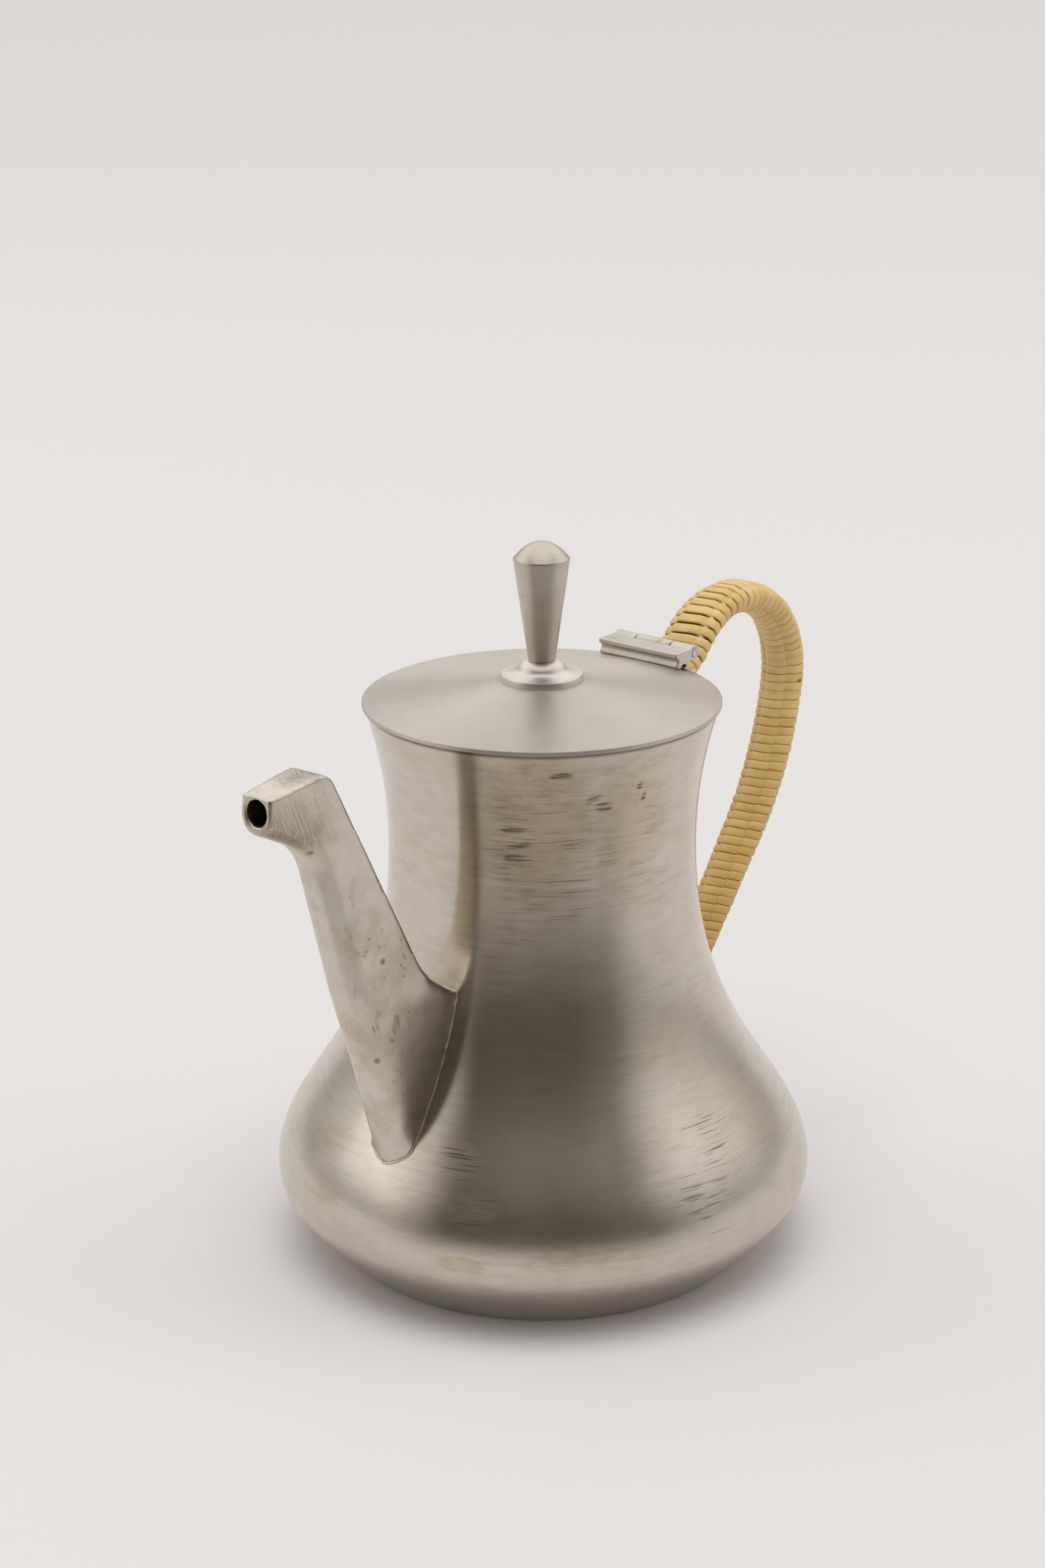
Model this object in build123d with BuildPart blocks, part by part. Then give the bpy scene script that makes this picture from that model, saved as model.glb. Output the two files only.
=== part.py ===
"""Pewter coffee pot: spun body, cast spout, hinged lid with turned knob, cane-bound handle.

Millimetres. The origin is the middle of the flat base on the table, +Z is up,
the handle and the hinge lie towards +X and the spout towards -X.
"""

from build123d import *
from math import cos, radians, sin, sqrt
import os

os.makedirs("parts", exist_ok=True)

# Spun body
wall = 1.3
base_radius = 56.7
belly_radius = 76.4
belly_height = 26.1
neck_radius = 43.15
neck_height = 121.9
rim_radius = 49.3
rim_height = 161.4
base_flare_angle = 46.0
base_flare_reach = 20.0
bowl_belly_reach = 9.1
bell_belly_reach = 22.7
bell_neck_reach = 60.0

# Strainer holes in the body wall behind the spout
strainer_hole_radius = 1.6
strainer_pitch = 5.2
strainer_rows = 6
strainer_columns = 2
strainer_middle_height = 69.0

# Spout, its side outline in (x, z) and its plan widths
mouth_reach = 115.1
mouth_middle_height = 158.5
mouth_face_height = 10.0
mouth_lean_angle = 3.5
mouth_width = 10.2
mouth_bore_radius = 3.5
mouth_bore_length = 15.0
mouth_bore_rise = 0.6
beak_length = 21.3
beak_angle = 7.0
back_angle = 62.6
crest_height = 100.4
crest_angle = 34.0
beak_throat_drop = 8.6
beak_throat_setback = 17.0
spout_knee_reach = 81.0
spout_knee_height = 86.0
spout_heel_angle = 72.8
spout_root_width = 15.4
spout_root_reach = 60.0
spout_wall = 2.2
beak_corner_radius = 5.5
crest_round = 20.0
throat_round = 20.0
knee_round = 60.0
spout_front_round = 4.8
spout_edge_round = 0.5
tongue_nose_radius = 7.2
tongue_nose_angle = 66.5
tongue_foot_reach = 67.0
tongue_foot_height = 40.0
tongue_top_height = 92.0
spout_front_lean = -0.1
spout_back_lean = 0.3

# Lid
lid_radius = 50.0
lid_thickness = 1.2
lid_rise = 5.4
lid_land_radius = 11.9
lid_seat_width = 5.6
lid_edge_round = 0.3
bezel_depth = 4.9
bezel_wall = 1.2
bezel_clearance = 0.8
bezel_chamfer = 0.4

# Knob, its collar and its screw
collar_radius = 11.5
collar_edge_thickness = 1.9
collar_ledge_radius = 6.6
collar_ledge_height = 3.4
collar_height = 5.7
knob_neck_radius = 3.76
knob_radius = 7.87
knob_cone_height = 28.8
knob_cap_height = 4.7
knob_cap_shoulder_radius = 4.9
knob_cap_shoulder_drop = 1.0
knob_cap_peak_radius = 2.4
knob_rim_round = 0.6
screw_radius = 1.95
screw_thread_clearance = 0.05
screw_hole_clearance = 0.25
screw_reach_in_knob = 12.0
screw_hole_spare = 1.5
screw_head_radius = 3.6
screw_head_height = 2.2
screw_head_round = 0.7
screw_slot_width = 1.0
screw_slot_depth = 1.1
washer_radius = 5.5
washer_thickness = 0.8

# Hinge
pin_reach = 52.2
pin_above_rim = 4.9
pin_radius = 1.1
pin_clearance = 0.05
knuckle_radius = 2.25
hinge_width = 28.0
middle_knuckle_width = 12.3
knuckle_side_gap = 0.15
knuckle_swing_gap = 0.3
leaf_reach = 8.8
leaf_top_above_pin = 1.5
leaf_lip_thickness = 1.5
leaf_cove_depth = 1.2
leaf_bead_setback = 0.4
leaf_bead_height = 1.6
leaf_bead_thickness = 1.9
leaf_arch_width = 2.8
leaf_arch_lean = 0.7
leaf_arch_height = 1.4
leaf_heel_setback = 1.0
riser_gap = 0.7
hinge_foot_drop = 3.5
hinge_foot_thickness = 2.9
foot_round = 0.8
rim_swing_gap = 0.35

# Handle, its path in (x, z) and its D section from root to tail
loop_centre_reach = 88.6
loop_centre_height = 145.5
loop_radius = 27.3
rise_angle = 50.0
fall_angle = 100.0
root_angle = 30.0
root_sweep_radius = 20.0
tail_sweep_radius = 97.0
tail_angle = 128.0
bar_overrun = 12.0
core_root_width = 14.0
core_root_thickness = 6.7
core_tail_width = 10.4
core_tail_thickness = 4.7
core_nose_share = 0.66
core_corner_radius = 1.2
cane_thickness = 1.3
cane_root_bare_length = 12.4
cane_tail_bare_length = 3.1

# Sizes worked out from those above
flare_rise = rim_height - neck_height
flare_growth = rim_radius - neck_radius
flare_arc_radius = (flare_rise**2 + flare_growth**2) / (2 * flare_growth)
lid_edge_top = rim_height + lid_thickness
lid_land_height = lid_edge_top + lid_rise
lid_seat_inner_radius = lid_radius - lid_seat_width
bezel_bottom = rim_height - bezel_depth
knob_seat = lid_land_height + collar_height
knob_top = knob_seat + knob_cone_height + knob_cap_height
pin_height = rim_height + pin_above_rim
screw_top = knob_seat + screw_reach_in_knob
washer_top = lid_land_height - lid_thickness


def neck_wall_inner_radius(height):
    """Inside radius of the flared neck at a height between its waist and its rim."""
    rise = height - neck_height
    outside = neck_radius + flare_arc_radius - sqrt(flare_arc_radius**2 - rise**2)
    return outside - wall


def from_point(start, angle, length):
    """Point at a length from start, along a direction given in degrees above +X."""
    return (start[0] + length * cos(radians(angle)), start[1] + length * sin(radians(angle)))


def crossing(start, angle, other_start, other_angle):
    """Point where two straight lines meet, each given by a point and an angle."""
    line_x, line_z = cos(radians(angle)), sin(radians(angle))
    other_x, other_z = cos(radians(other_angle)), sin(radians(other_angle))
    gap_x, gap_z = other_start[0] - start[0], other_start[1] - start[1]
    length = (gap_x * other_z - gap_z * other_x) / (line_x * other_z - line_z * other_x)
    return from_point(start, angle, length)


# Outside form of the body, which the shells are cut from and the fittings are fitted to
with BuildPart() as body_form:
    with BuildSketch(Plane.YZ):
        with BuildLine():
            floor = Line((0, 0), (base_radius, 0))
            bowl = Bezier(
                floor @ 1,
                from_point((base_radius, 0), base_flare_angle, base_flare_reach),
                (belly_radius, belly_height - bowl_belly_reach),
                (belly_radius, belly_height),
            )
            bell = Bezier(
                bowl @ 1,
                (belly_radius, belly_height + bell_belly_reach),
                (neck_radius, neck_height - bell_neck_reach),
                (neck_radius, neck_height),
            )
            flare = TangentArc(bell @ 1, (rim_radius, rim_height), tangent=(0, 1))
            rim = Line(flare @ 1, (0, rim_height))
            Line(rim @ 1, floor @ 0)
        make_face()
    revolve(axis=Axis.Z)

# Both spun shells in one, before the parting at the belly seam
with BuildPart() as body_shell:
    add(body_form.part)
    offset(amount=-wall, openings=faces().sort_by(Axis.Z)[-1])

# Lower shell: bowl with its flat floor
with BuildPart() as body_bowl:
    add(body_shell.part)
    split(bisect_by=Plane.XY.offset(belly_height), keep=Keep.BOTTOM)
body_bowl.part.label = "body_bowl"
export_step(body_bowl.part, "parts/body_bowl.step")

# Upper shell: bell, waist and flared neck, with the strainer holes behind the spout
with BuildPart() as body_bell:
    add(body_shell.part)
    split(bisect_by=Plane.XY.offset(belly_height), keep=Keep.TOP)
    with BuildSketch(Plane.YZ):
        with Locations((0, strainer_middle_height)):
            with GridLocations(strainer_pitch, strainer_pitch, strainer_columns, strainer_rows):
                Circle(strainer_hole_radius)
    extrude(amount=-belly_radius, mode=Mode.SUBTRACT)
body_bell.part.label = "body_bell"
export_step(body_bell.part, "parts/body_bell.step")

# Corners of the spout's side outline, seen from the front with the mouth at the left
mouth_middle = (-mouth_reach, mouth_middle_height)
mouth_top = from_point(mouth_middle, 90 - mouth_lean_angle, mouth_face_height / 2)
mouth_bottom = from_point(mouth_middle, 270 - mouth_lean_angle, mouth_face_height / 2)
beak_back = from_point(mouth_top, beak_angle, beak_length)
crest = crossing(beak_back, -back_angle, (0, crest_height), 0)
root_top = crossing(crest, -crest_angle, (-neck_radius + wall, 0), 90)
throat = (mouth_bottom[0] + beak_throat_setback, mouth_bottom[1] - beak_throat_drop)
knee = (-spout_knee_reach, spout_knee_height)
heel = crossing(knee, -spout_heel_angle, (0, belly_height), 0)
root_bottom = (root_top[0], belly_height)
spout_outline = [mouth_top, beak_back, crest, root_top, root_bottom, heel, knee, throat, mouth_bottom]
rounded_corners = [
    (beak_back, beak_corner_radius),
    (crest, crest_round),
    (throat, throat_round),
    (knee, knee_round),
]
spout_taper = (spout_root_width - mouth_width) / (mouth_reach - spout_root_reach)


def spout_plan_width(reach):
    """Width of the spout at a distance from the pot's axis."""
    return mouth_width + spout_taper * (mouth_reach - reach)


def spout_block(inset, front_round):
    """Spout with its front edges rounded, every face moved in by inset."""
    near = spout_plan_width(0) / 2 - inset
    far = spout_plan_width(mouth_reach + spout_wall) / 2 - inset
    with BuildPart() as block:
        with BuildSketch(Plane.XZ) as side:
            with BuildLine():
                Polyline(*spout_outline, close=True)
            make_face()
            for corner, radius in rounded_corners:
                fillet(side.vertices().sort_by_distance(corner)[0], radius)
            if inset:
                offset(amount=-inset, mode=Mode.REPLACE)
        extrude(amount=spout_root_width, both=True)
        with BuildSketch():
            with BuildLine():
                Polyline(
                    (0, -near),
                    (0, near),
                    (-mouth_reach - spout_wall, far),
                    (-mouth_reach - spout_wall, -far),
                    close=True,
                )
            make_face()
        extrude(amount=rim_height + beak_length, mode=Mode.INTERSECT)
        front_faces = faces().filter_by(lambda face: max(face.normal_at().X, face.normal_at().Z) < spout_front_lean)
        fillet(front_faces.edges().filter_by(Axis.Y, reverse=True), front_round)
    return block.part


# Round tongue in which the spout ends on the body, as what is left around it
tongue_foot = Plane(
    origin=(-tongue_foot_reach, 0, tongue_foot_height),
    x_dir=(sin(radians(tongue_nose_angle)), 0, cos(radians(tongue_nose_angle))),
    z_dir=(-cos(radians(tongue_nose_angle)), 0, sin(radians(tongue_nose_angle))),
)
with BuildPart() as tongue_surround:
    with BuildSketch(Plane.XZ):
        with Locations((-mouth_reach, 0)):
            Rectangle(mouth_reach, tongue_top_height, align=Align.MIN)
    extrude(amount=belly_radius, both=True)
    with BuildSketch(tongue_foot):
        with Locations((tongue_nose_radius, 0)):
            Circle(tongue_nose_radius)
            Rectangle(mouth_reach, 2 * tongue_nose_radius, align=(Align.MIN, Align.CENTER))
    extrude(amount=mouth_reach, both=True, mode=Mode.SUBTRACT)

# Cast spout: a tapering blade with a flat back, a rounded front and a level beak
spout_channel = spout_block(spout_wall, spout_front_round - spout_wall)
with BuildPart() as spout:
    add(spout_block(0, spout_front_round))
    back_faces = faces().filter_by(lambda face: face.normal_at().Z > spout_back_lean > abs(face.normal_at().Y))
    fillet(back_faces.edges().filter_by(Axis.Y, reverse=True), spout_edge_round)
    add(tongue_surround.part, mode=Mode.SUBTRACT)
    add(spout_channel, mode=Mode.SUBTRACT)
    with BuildSketch(Plane.YZ.offset(-mouth_reach - mouth_width)):
        with Locations((0, mouth_middle_height + mouth_bore_rise)):
            Circle(mouth_bore_radius)
    extrude(amount=mouth_width + mouth_bore_length, mode=Mode.SUBTRACT)
    add(body_form.part, mode=Mode.SUBTRACT)
spout.part.label = "spout"
export_step(spout.part, "parts/spout.step")

# Lid: a shallow cone with a flat land for the knob and a flat seat on the rim
screw_hole_radius = screw_radius + screw_hole_clearance
seat_step_height = lid_edge_top + lid_rise * lid_seat_width / (lid_radius - lid_land_radius) - lid_thickness
with BuildPart() as lid_disc:
    with BuildSketch(Plane.XZ):
        with BuildLine():
            Polyline(
                (screw_hole_radius, lid_land_height),
                (lid_land_radius, lid_land_height),
                (lid_radius, lid_edge_top),
                (lid_radius, rim_height),
                (lid_seat_inner_radius, rim_height),
                (lid_seat_inner_radius, seat_step_height),
                (lid_land_radius, lid_land_height - lid_thickness),
                (screw_hole_radius, lid_land_height - lid_thickness),
                close=True,
            )
        make_face()
    revolve(axis=Axis.Z)
    fillet(edges().filter_by(GeomType.CIRCLE).group_by(SortBy.RADIUS)[-1], lid_edge_round)
lid_disc.part.label = "lid_disc"
export_step(lid_disc.part, "parts/lid_disc.step")

# Bezel under the lid, which keeps it centred in the neck
bezel_radius = neck_wall_inner_radius(bezel_bottom) - bezel_clearance
with BuildPart() as lid_bezel:
    with BuildSketch(Plane.XY.offset(bezel_bottom)):
        Circle(bezel_radius)
        Circle(bezel_radius - bezel_wall, mode=Mode.SUBTRACT)
    extrude(amount=bezel_depth)
    chamfer(edges().group_by(Axis.Z)[0], bezel_chamfer)
lid_bezel.part.label = "lid_bezel"
export_step(lid_bezel.part, "parts/lid_bezel.step")

# Collar between lid and knob
with BuildPart() as knob_collar:
    with BuildSketch(Plane.XZ):
        with BuildLine():
            foot = Line((screw_hole_radius, lid_land_height), (collar_radius, lid_land_height))
            edge = Line(foot @ 1, (collar_radius, lid_land_height + collar_edge_thickness))
            ledge = (collar_ledge_radius, lid_land_height + collar_ledge_height)
            cove = Bezier(edge @ 1, (collar_ledge_radius, (edge @ 1).Y), ledge)
            swell = Bezier(cove @ 1, (collar_ledge_radius, knob_seat), (knob_neck_radius, knob_seat))
            top = Line(swell @ 1, (screw_hole_radius, knob_seat))
            Line(top @ 1, foot @ 0)
        make_face()
    revolve(axis=Axis.Z)
knob_collar.part.label = "knob_collar"
export_step(knob_collar.part, "parts/knob_collar.step")

# Knob: a slender cone that widens upwards under a pointed dome, tapped from below
with BuildPart() as knob:
    with BuildSketch(Plane.XZ):
        with BuildLine():
            seat = Line((0, knob_seat), (knob_neck_radius, knob_seat))
            cone = Line(seat @ 1, (knob_radius, knob_seat + knob_cone_height))
            cap = Bezier(
                cone @ 1,
                (knob_cap_shoulder_radius, knob_top - knob_cap_shoulder_drop),
                (knob_cap_peak_radius, knob_top),
                (0, knob_top),
            )
            Line(cap @ 1, seat @ 0)
        make_face()
    revolve(axis=Axis.Z)
    fillet(edges().filter_by(GeomType.CIRCLE).group_by(SortBy.RADIUS)[-1], knob_rim_round)
    with BuildSketch(Plane.XY.offset(knob_seat)):
        Circle(screw_radius + screw_thread_clearance)
    extrude(amount=screw_reach_in_knob + screw_hole_spare, mode=Mode.SUBTRACT)
knob.part.label = "knob"
export_step(knob.part, "parts/knob.step")

# Washer under the lid's middle
with BuildPart() as knob_washer:
    with BuildSketch(Plane.XY.offset(washer_top)):
        Circle(washer_radius)
        Circle(screw_hole_radius, mode=Mode.SUBTRACT)
    extrude(amount=-washer_thickness)
knob_washer.part.label = "knob_washer"
export_step(knob_washer.part, "parts/knob_washer.step")

# Slotted screw that draws knob, collar, lid and washer together
screw_head_top = washer_top - washer_thickness
with BuildPart() as knob_screw:
    with BuildSketch(Plane.XY.offset(screw_head_top)):
        Circle(screw_radius)
    extrude(amount=screw_top - screw_head_top)
    with BuildSketch(Plane.XY.offset(screw_head_top)):
        Circle(screw_head_radius)
    extrude(amount=-screw_head_height)
    fillet(edges().group_by(Axis.Z)[0], screw_head_round)
    with BuildSketch(Plane.XY.offset(screw_head_top - screw_head_height)):
        Rectangle(2 * screw_head_radius, screw_slot_width)
    extrude(amount=screw_slot_depth, mode=Mode.SUBTRACT)
knob_screw.part.label = "knob_screw"
export_step(knob_screw.part, "parts/knob_screw.step")

# Lid's half of the hinge: a moulded block on the lid with the two outer knuckles
leaf_front = pin_reach - leaf_reach
leaf_top = pin_height + leaf_top_above_pin
leaf_heel = lid_radius - leaf_heel_setback
lip_bottom = leaf_top - leaf_lip_thickness
bead_top = lid_edge_top + leaf_bead_height
bead_front = leaf_front + leaf_bead_setback
arch_start = bead_front + leaf_bead_thickness
middle_gap_width = middle_knuckle_width + 2 * knuckle_side_gap
pin_hole_radius = pin_radius + pin_clearance
riser_front = lid_radius + riser_gap
with BuildPart() as hinge_lid_leaf:
    with BuildSketch(Plane.XZ):
        with BuildLine():
            shelf = Line((pin_reach - knuckle_radius, leaf_top), (leaf_front, leaf_top))
            lip = Line(shelf @ 1, (leaf_front, lip_bottom))
            cove_middle = (leaf_front + leaf_cove_depth, (lip_bottom + bead_top) / 2)
            cove = ThreePointArc(lip @ 1, cove_middle, (bead_front, bead_top))
            bead = Line(cove @ 1, (bead_front, lid_edge_top))
            bead_foot = Line(bead @ 1, (arch_start, lid_edge_top))
            arch = Polyline(
                bead_foot @ 1,
                (arch_start + leaf_arch_lean, lid_edge_top + leaf_arch_height),
                (arch_start + leaf_arch_width, lid_edge_top + leaf_arch_height),
                (arch_start + leaf_arch_width - leaf_arch_lean, lid_edge_top),
            )
            heel = Line(arch @ 1, (leaf_heel, lid_edge_top))
            web = Line(heel @ 1, (pin_reach, pin_height))
            Line(web @ 1, shelf @ 0)
        make_face()
        with Locations((pin_reach, pin_height)):
            Circle(knuckle_radius)
    extrude(amount=hinge_width / 2, both=True)
    add(lid_disc.part, mode=Mode.SUBTRACT)
    with BuildSketch(Plane.XZ):
        with Locations((pin_reach, pin_height)):
            Circle(knuckle_radius + knuckle_swing_gap)
            Rectangle(hinge_width, hinge_width, align=(Align.MIN, Align.CENTER))
        with Locations((riser_front - knuckle_side_gap - knuckle_swing_gap, pin_height)):
            Rectangle(hinge_width, hinge_width, align=(Align.MIN, Align.MAX))
    extrude(amount=middle_gap_width / 2, both=True, mode=Mode.SUBTRACT)
    with BuildSketch(Plane.XZ):
        with Locations((pin_reach, pin_height)):
            Circle(pin_hole_radius)
    extrude(amount=hinge_width, both=True, mode=Mode.SUBTRACT)
hinge_lid_leaf.part.label = "hinge_lid_leaf"
export_step(hinge_lid_leaf.part, "parts/hinge_lid_leaf.step")

# Body's half of the hinge: a foot on the neck below the rim with the middle knuckle
foot_top = rim_height - rim_swing_gap
foot_bottom = rim_height - hinge_foot_drop
riser_back = riser_front + hinge_foot_thickness
with BuildPart() as hinge_body_leaf:
    with BuildSketch(Plane.XZ):
        with Locations((riser_front, foot_top)):
            Rectangle(hinge_foot_thickness, pin_height - foot_top, align=Align.MIN)
        with Locations((pin_reach, pin_height)):
            Circle(knuckle_radius)
    extrude(amount=middle_knuckle_width / 2, both=True)
    with BuildSketch(Plane.XZ):
        with Locations((riser_back, foot_bottom)):
            Rectangle(riser_back - neck_radius, foot_top - foot_bottom, align=(Align.MAX, Align.MIN))
    extrude(amount=hinge_width / 2, both=True)
    fillet(edges().filter_by(Axis.Y).group_by(Axis.Z)[0].sort_by(Axis.X)[-1], foot_round)
    add(body_form.part, mode=Mode.SUBTRACT)
    with BuildSketch(Plane.XZ):
        with Locations((pin_reach, pin_height)):
            Circle(pin_hole_radius)
    extrude(amount=hinge_width, both=True, mode=Mode.SUBTRACT)
hinge_body_leaf.part.label = "hinge_body_leaf"
export_step(hinge_body_leaf.part, "parts/hinge_body_leaf.step")

# Hinge pin through all three knuckles
with BuildPart() as hinge_pin:
    with BuildSketch(Plane.XZ):
        with Locations((pin_reach, pin_height)):
            Circle(pin_radius)
    extrude(amount=hinge_width / 2, both=True)
hinge_pin.part.label = "hinge_pin"
export_step(hinge_pin.part, "parts/hinge_pin.step")


def distance_to_body(start, angle):
    """Distance from a point in (x, z) to the body's outside, in degrees above +X."""
    ahead = from_point((0, 0), angle, 1)
    line = Axis((start[0], 0, start[1]), (ahead[0], 0, ahead[1]))
    crossings = [point for face in body_form.faces() for point, _ in face.find_intersection_points(line)]
    offsets = [point - line.position for point in crossings]
    return min(offset.length for offset in offsets if offset.dot(line.direction) > 0)


# Handle path in (x, z): out of the neck, up into the loop, over it and down to the belly
loop_start = from_point((loop_centre_reach, loop_centre_height), 90 + rise_angle, loop_radius)
loop_end = from_point((loop_centre_reach, loop_centre_height), 90 - fall_angle, loop_radius)
tail_middle = from_point(loop_end, 270 - fall_angle, tail_sweep_radius)
tail_start = from_point(tail_middle, 90 - tail_angle, tail_sweep_radius)
sweep_middle = from_point(loop_start, 90 + rise_angle, root_sweep_radius)
sweep_start = from_point(sweep_middle, root_angle - 90, root_sweep_radius)
root_length = distance_to_body(sweep_start, root_angle + 180) + bar_overrun
tail_length = distance_to_body(tail_start, -tail_angle) + bar_overrun


def handle_path(root_cut, tail_cut):
    """Handle's middle line, shortened at its root and at its tail."""
    with BuildLine(Plane.XZ) as path:
        root = Line(from_point(sweep_start, root_angle + 180, root_length - root_cut), sweep_start)
        rise = JernArc(root @ 1, root % 1, root_sweep_radius, rise_angle - root_angle)
        loop = JernArc(rise @ 1, rise % 1, loop_radius, -rise_angle - fall_angle)
        fall = JernArc(loop @ 1, loop % 1, tail_sweep_radius, fall_angle - tail_angle)
        Line(fall @ 1, fall @ 1 + (fall % 1) * (tail_length - tail_cut))
    return path.wires()[0]


def handle_section(plane, width, thickness):
    """D-shaped section: a broad outer face and a narrower rounded inner one."""
    nose = width * core_nose_share
    with BuildSketch(plane) as section:
        with BuildLine():
            Polyline(
                (-width / 2, thickness / 2),
                (width / 2, thickness / 2),
                (nose / 2, -thickness / 2),
                (-nose / 2, -thickness / 2),
                close=True,
            )
        make_face()
        fillet(section.vertices(), core_corner_radius)
    return section.sketch


def handle_sweep(path, growth):
    """Tapering bar along the path, its section grown by growth on every side."""
    root_plane = Plane(origin=path @ 0, x_dir=(0, 1, 0), z_dir=path % 0)
    tail_plane = Plane(origin=path @ 1, x_dir=(0, 1, 0), z_dir=path % 1)
    root_section = handle_section(root_plane, core_root_width + 2 * growth, core_root_thickness + 2 * growth)
    tail_section = handle_section(tail_plane, core_tail_width + 2 * growth, core_tail_thickness + 2 * growth)
    with BuildPart() as bar:
        sweep(sections=[root_section, tail_section], path=path, multisection=True)
    return bar.part


# Metal bar inside the handle
with BuildPart() as handle_core:
    add(handle_sweep(handle_path(0, 0), 0))
    add(body_form.part, mode=Mode.SUBTRACT)
handle_core.part.label = "handle_core"
export_step(handle_core.part, "parts/handle_core.step")

# Cane binding round the bar, which stays bare for a short length at both ends
cane_path = handle_path(bar_overrun + cane_root_bare_length, bar_overrun + cane_tail_bare_length)
with BuildPart() as cane_wrap:
    add(handle_sweep(cane_path, cane_thickness))
    add(handle_core.part, mode=Mode.SUBTRACT)
cane_wrap.part.label = "cane_wrap"
export_step(cane_wrap.part, "parts/cane_wrap.step")
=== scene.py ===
"""Pewter coffee pot in a pale studio.

The pot stands on its flat base at the origin, +Z up, with the handle towards +X and
the spout towards -X. Every size is in metres, unless its class says millimetres.
"""

import logging
import math
from collections.abc import Sequence
from dataclasses import dataclass, field
from enum import Enum

import bmesh
import bpy
import numpy as np
from mathutils import Matrix, Vector
from mathutils.bvhtree import BVHTree


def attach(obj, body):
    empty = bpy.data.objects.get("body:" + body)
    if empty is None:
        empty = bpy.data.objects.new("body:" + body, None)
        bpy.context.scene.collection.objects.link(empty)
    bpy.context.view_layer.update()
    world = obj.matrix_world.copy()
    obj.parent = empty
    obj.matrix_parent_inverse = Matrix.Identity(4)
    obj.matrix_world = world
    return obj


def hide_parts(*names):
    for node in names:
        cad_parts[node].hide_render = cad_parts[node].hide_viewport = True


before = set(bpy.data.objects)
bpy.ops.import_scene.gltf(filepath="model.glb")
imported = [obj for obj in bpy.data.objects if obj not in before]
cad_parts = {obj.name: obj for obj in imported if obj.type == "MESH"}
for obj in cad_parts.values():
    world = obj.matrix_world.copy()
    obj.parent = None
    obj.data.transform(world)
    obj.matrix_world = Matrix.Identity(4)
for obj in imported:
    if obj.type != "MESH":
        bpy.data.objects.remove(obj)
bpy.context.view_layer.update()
log = logging.getLogger("coffee_pot")
MM = 0.001
# Degrees from +X, the way in which the camera looks.
CAMERA_HEADING = 39.35
# How far the spout goes outwards for each metre that it rises.
SPOUT_LEAN = 0.42
Colour = tuple[float, float, float]
Point = tuple[float, float, float]
Span = tuple[float, float]


class Value:
    """A number that varies over a surface, so that shader maths reads as arithmetic."""

    def __init__(self, bench: "Bench", socket: bpy.types.NodeSocket) -> None:
        """Wraps a socket.

        Args:
            bench: The node tree that the socket belongs to.
            socket: An output socket that gives one number.
        """
        self.bench = bench
        self.socket = socket

    def __add__(self, other: "Term") -> "Value":
        """Sum."""
        return self.bench.maths("ADD", self, other)

    __radd__ = __add__

    def __sub__(self, other: "Term") -> "Value":
        """Difference."""
        return self.bench.maths("SUBTRACT", self, other)

    def __rsub__(self, other: "Term") -> "Value":
        """Difference with the wrapped value second."""
        return self.bench.maths("SUBTRACT", other, self)

    def __mul__(self, other: "Term") -> "Value":
        """Product."""
        return self.bench.maths("MULTIPLY", self, other)

    __rmul__ = __mul__

    def most(self, other: "Term") -> "Value":
        """The larger of two values."""
        return self.bench.maths("MAXIMUM", self, other)

    def ramp(self, low: float, high: float) -> "Value":
        """Smooth climb from 0 at low to 1 at high, which may be the smaller number.

        Args:
            low: Where the result is 0.
            high: Where the result is 1.

        Returns:
            A value from 0 to 1.
        """
        made = self.bench.node(
            "ShaderNodeMapRange",
            {"interpolation_type": "SMOOTHSTEP"},
            {"Value": self, "From Min": low, "From Max": high},
        )
        return Value(self.bench, made.outputs[0])


Term = Value | float


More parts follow.
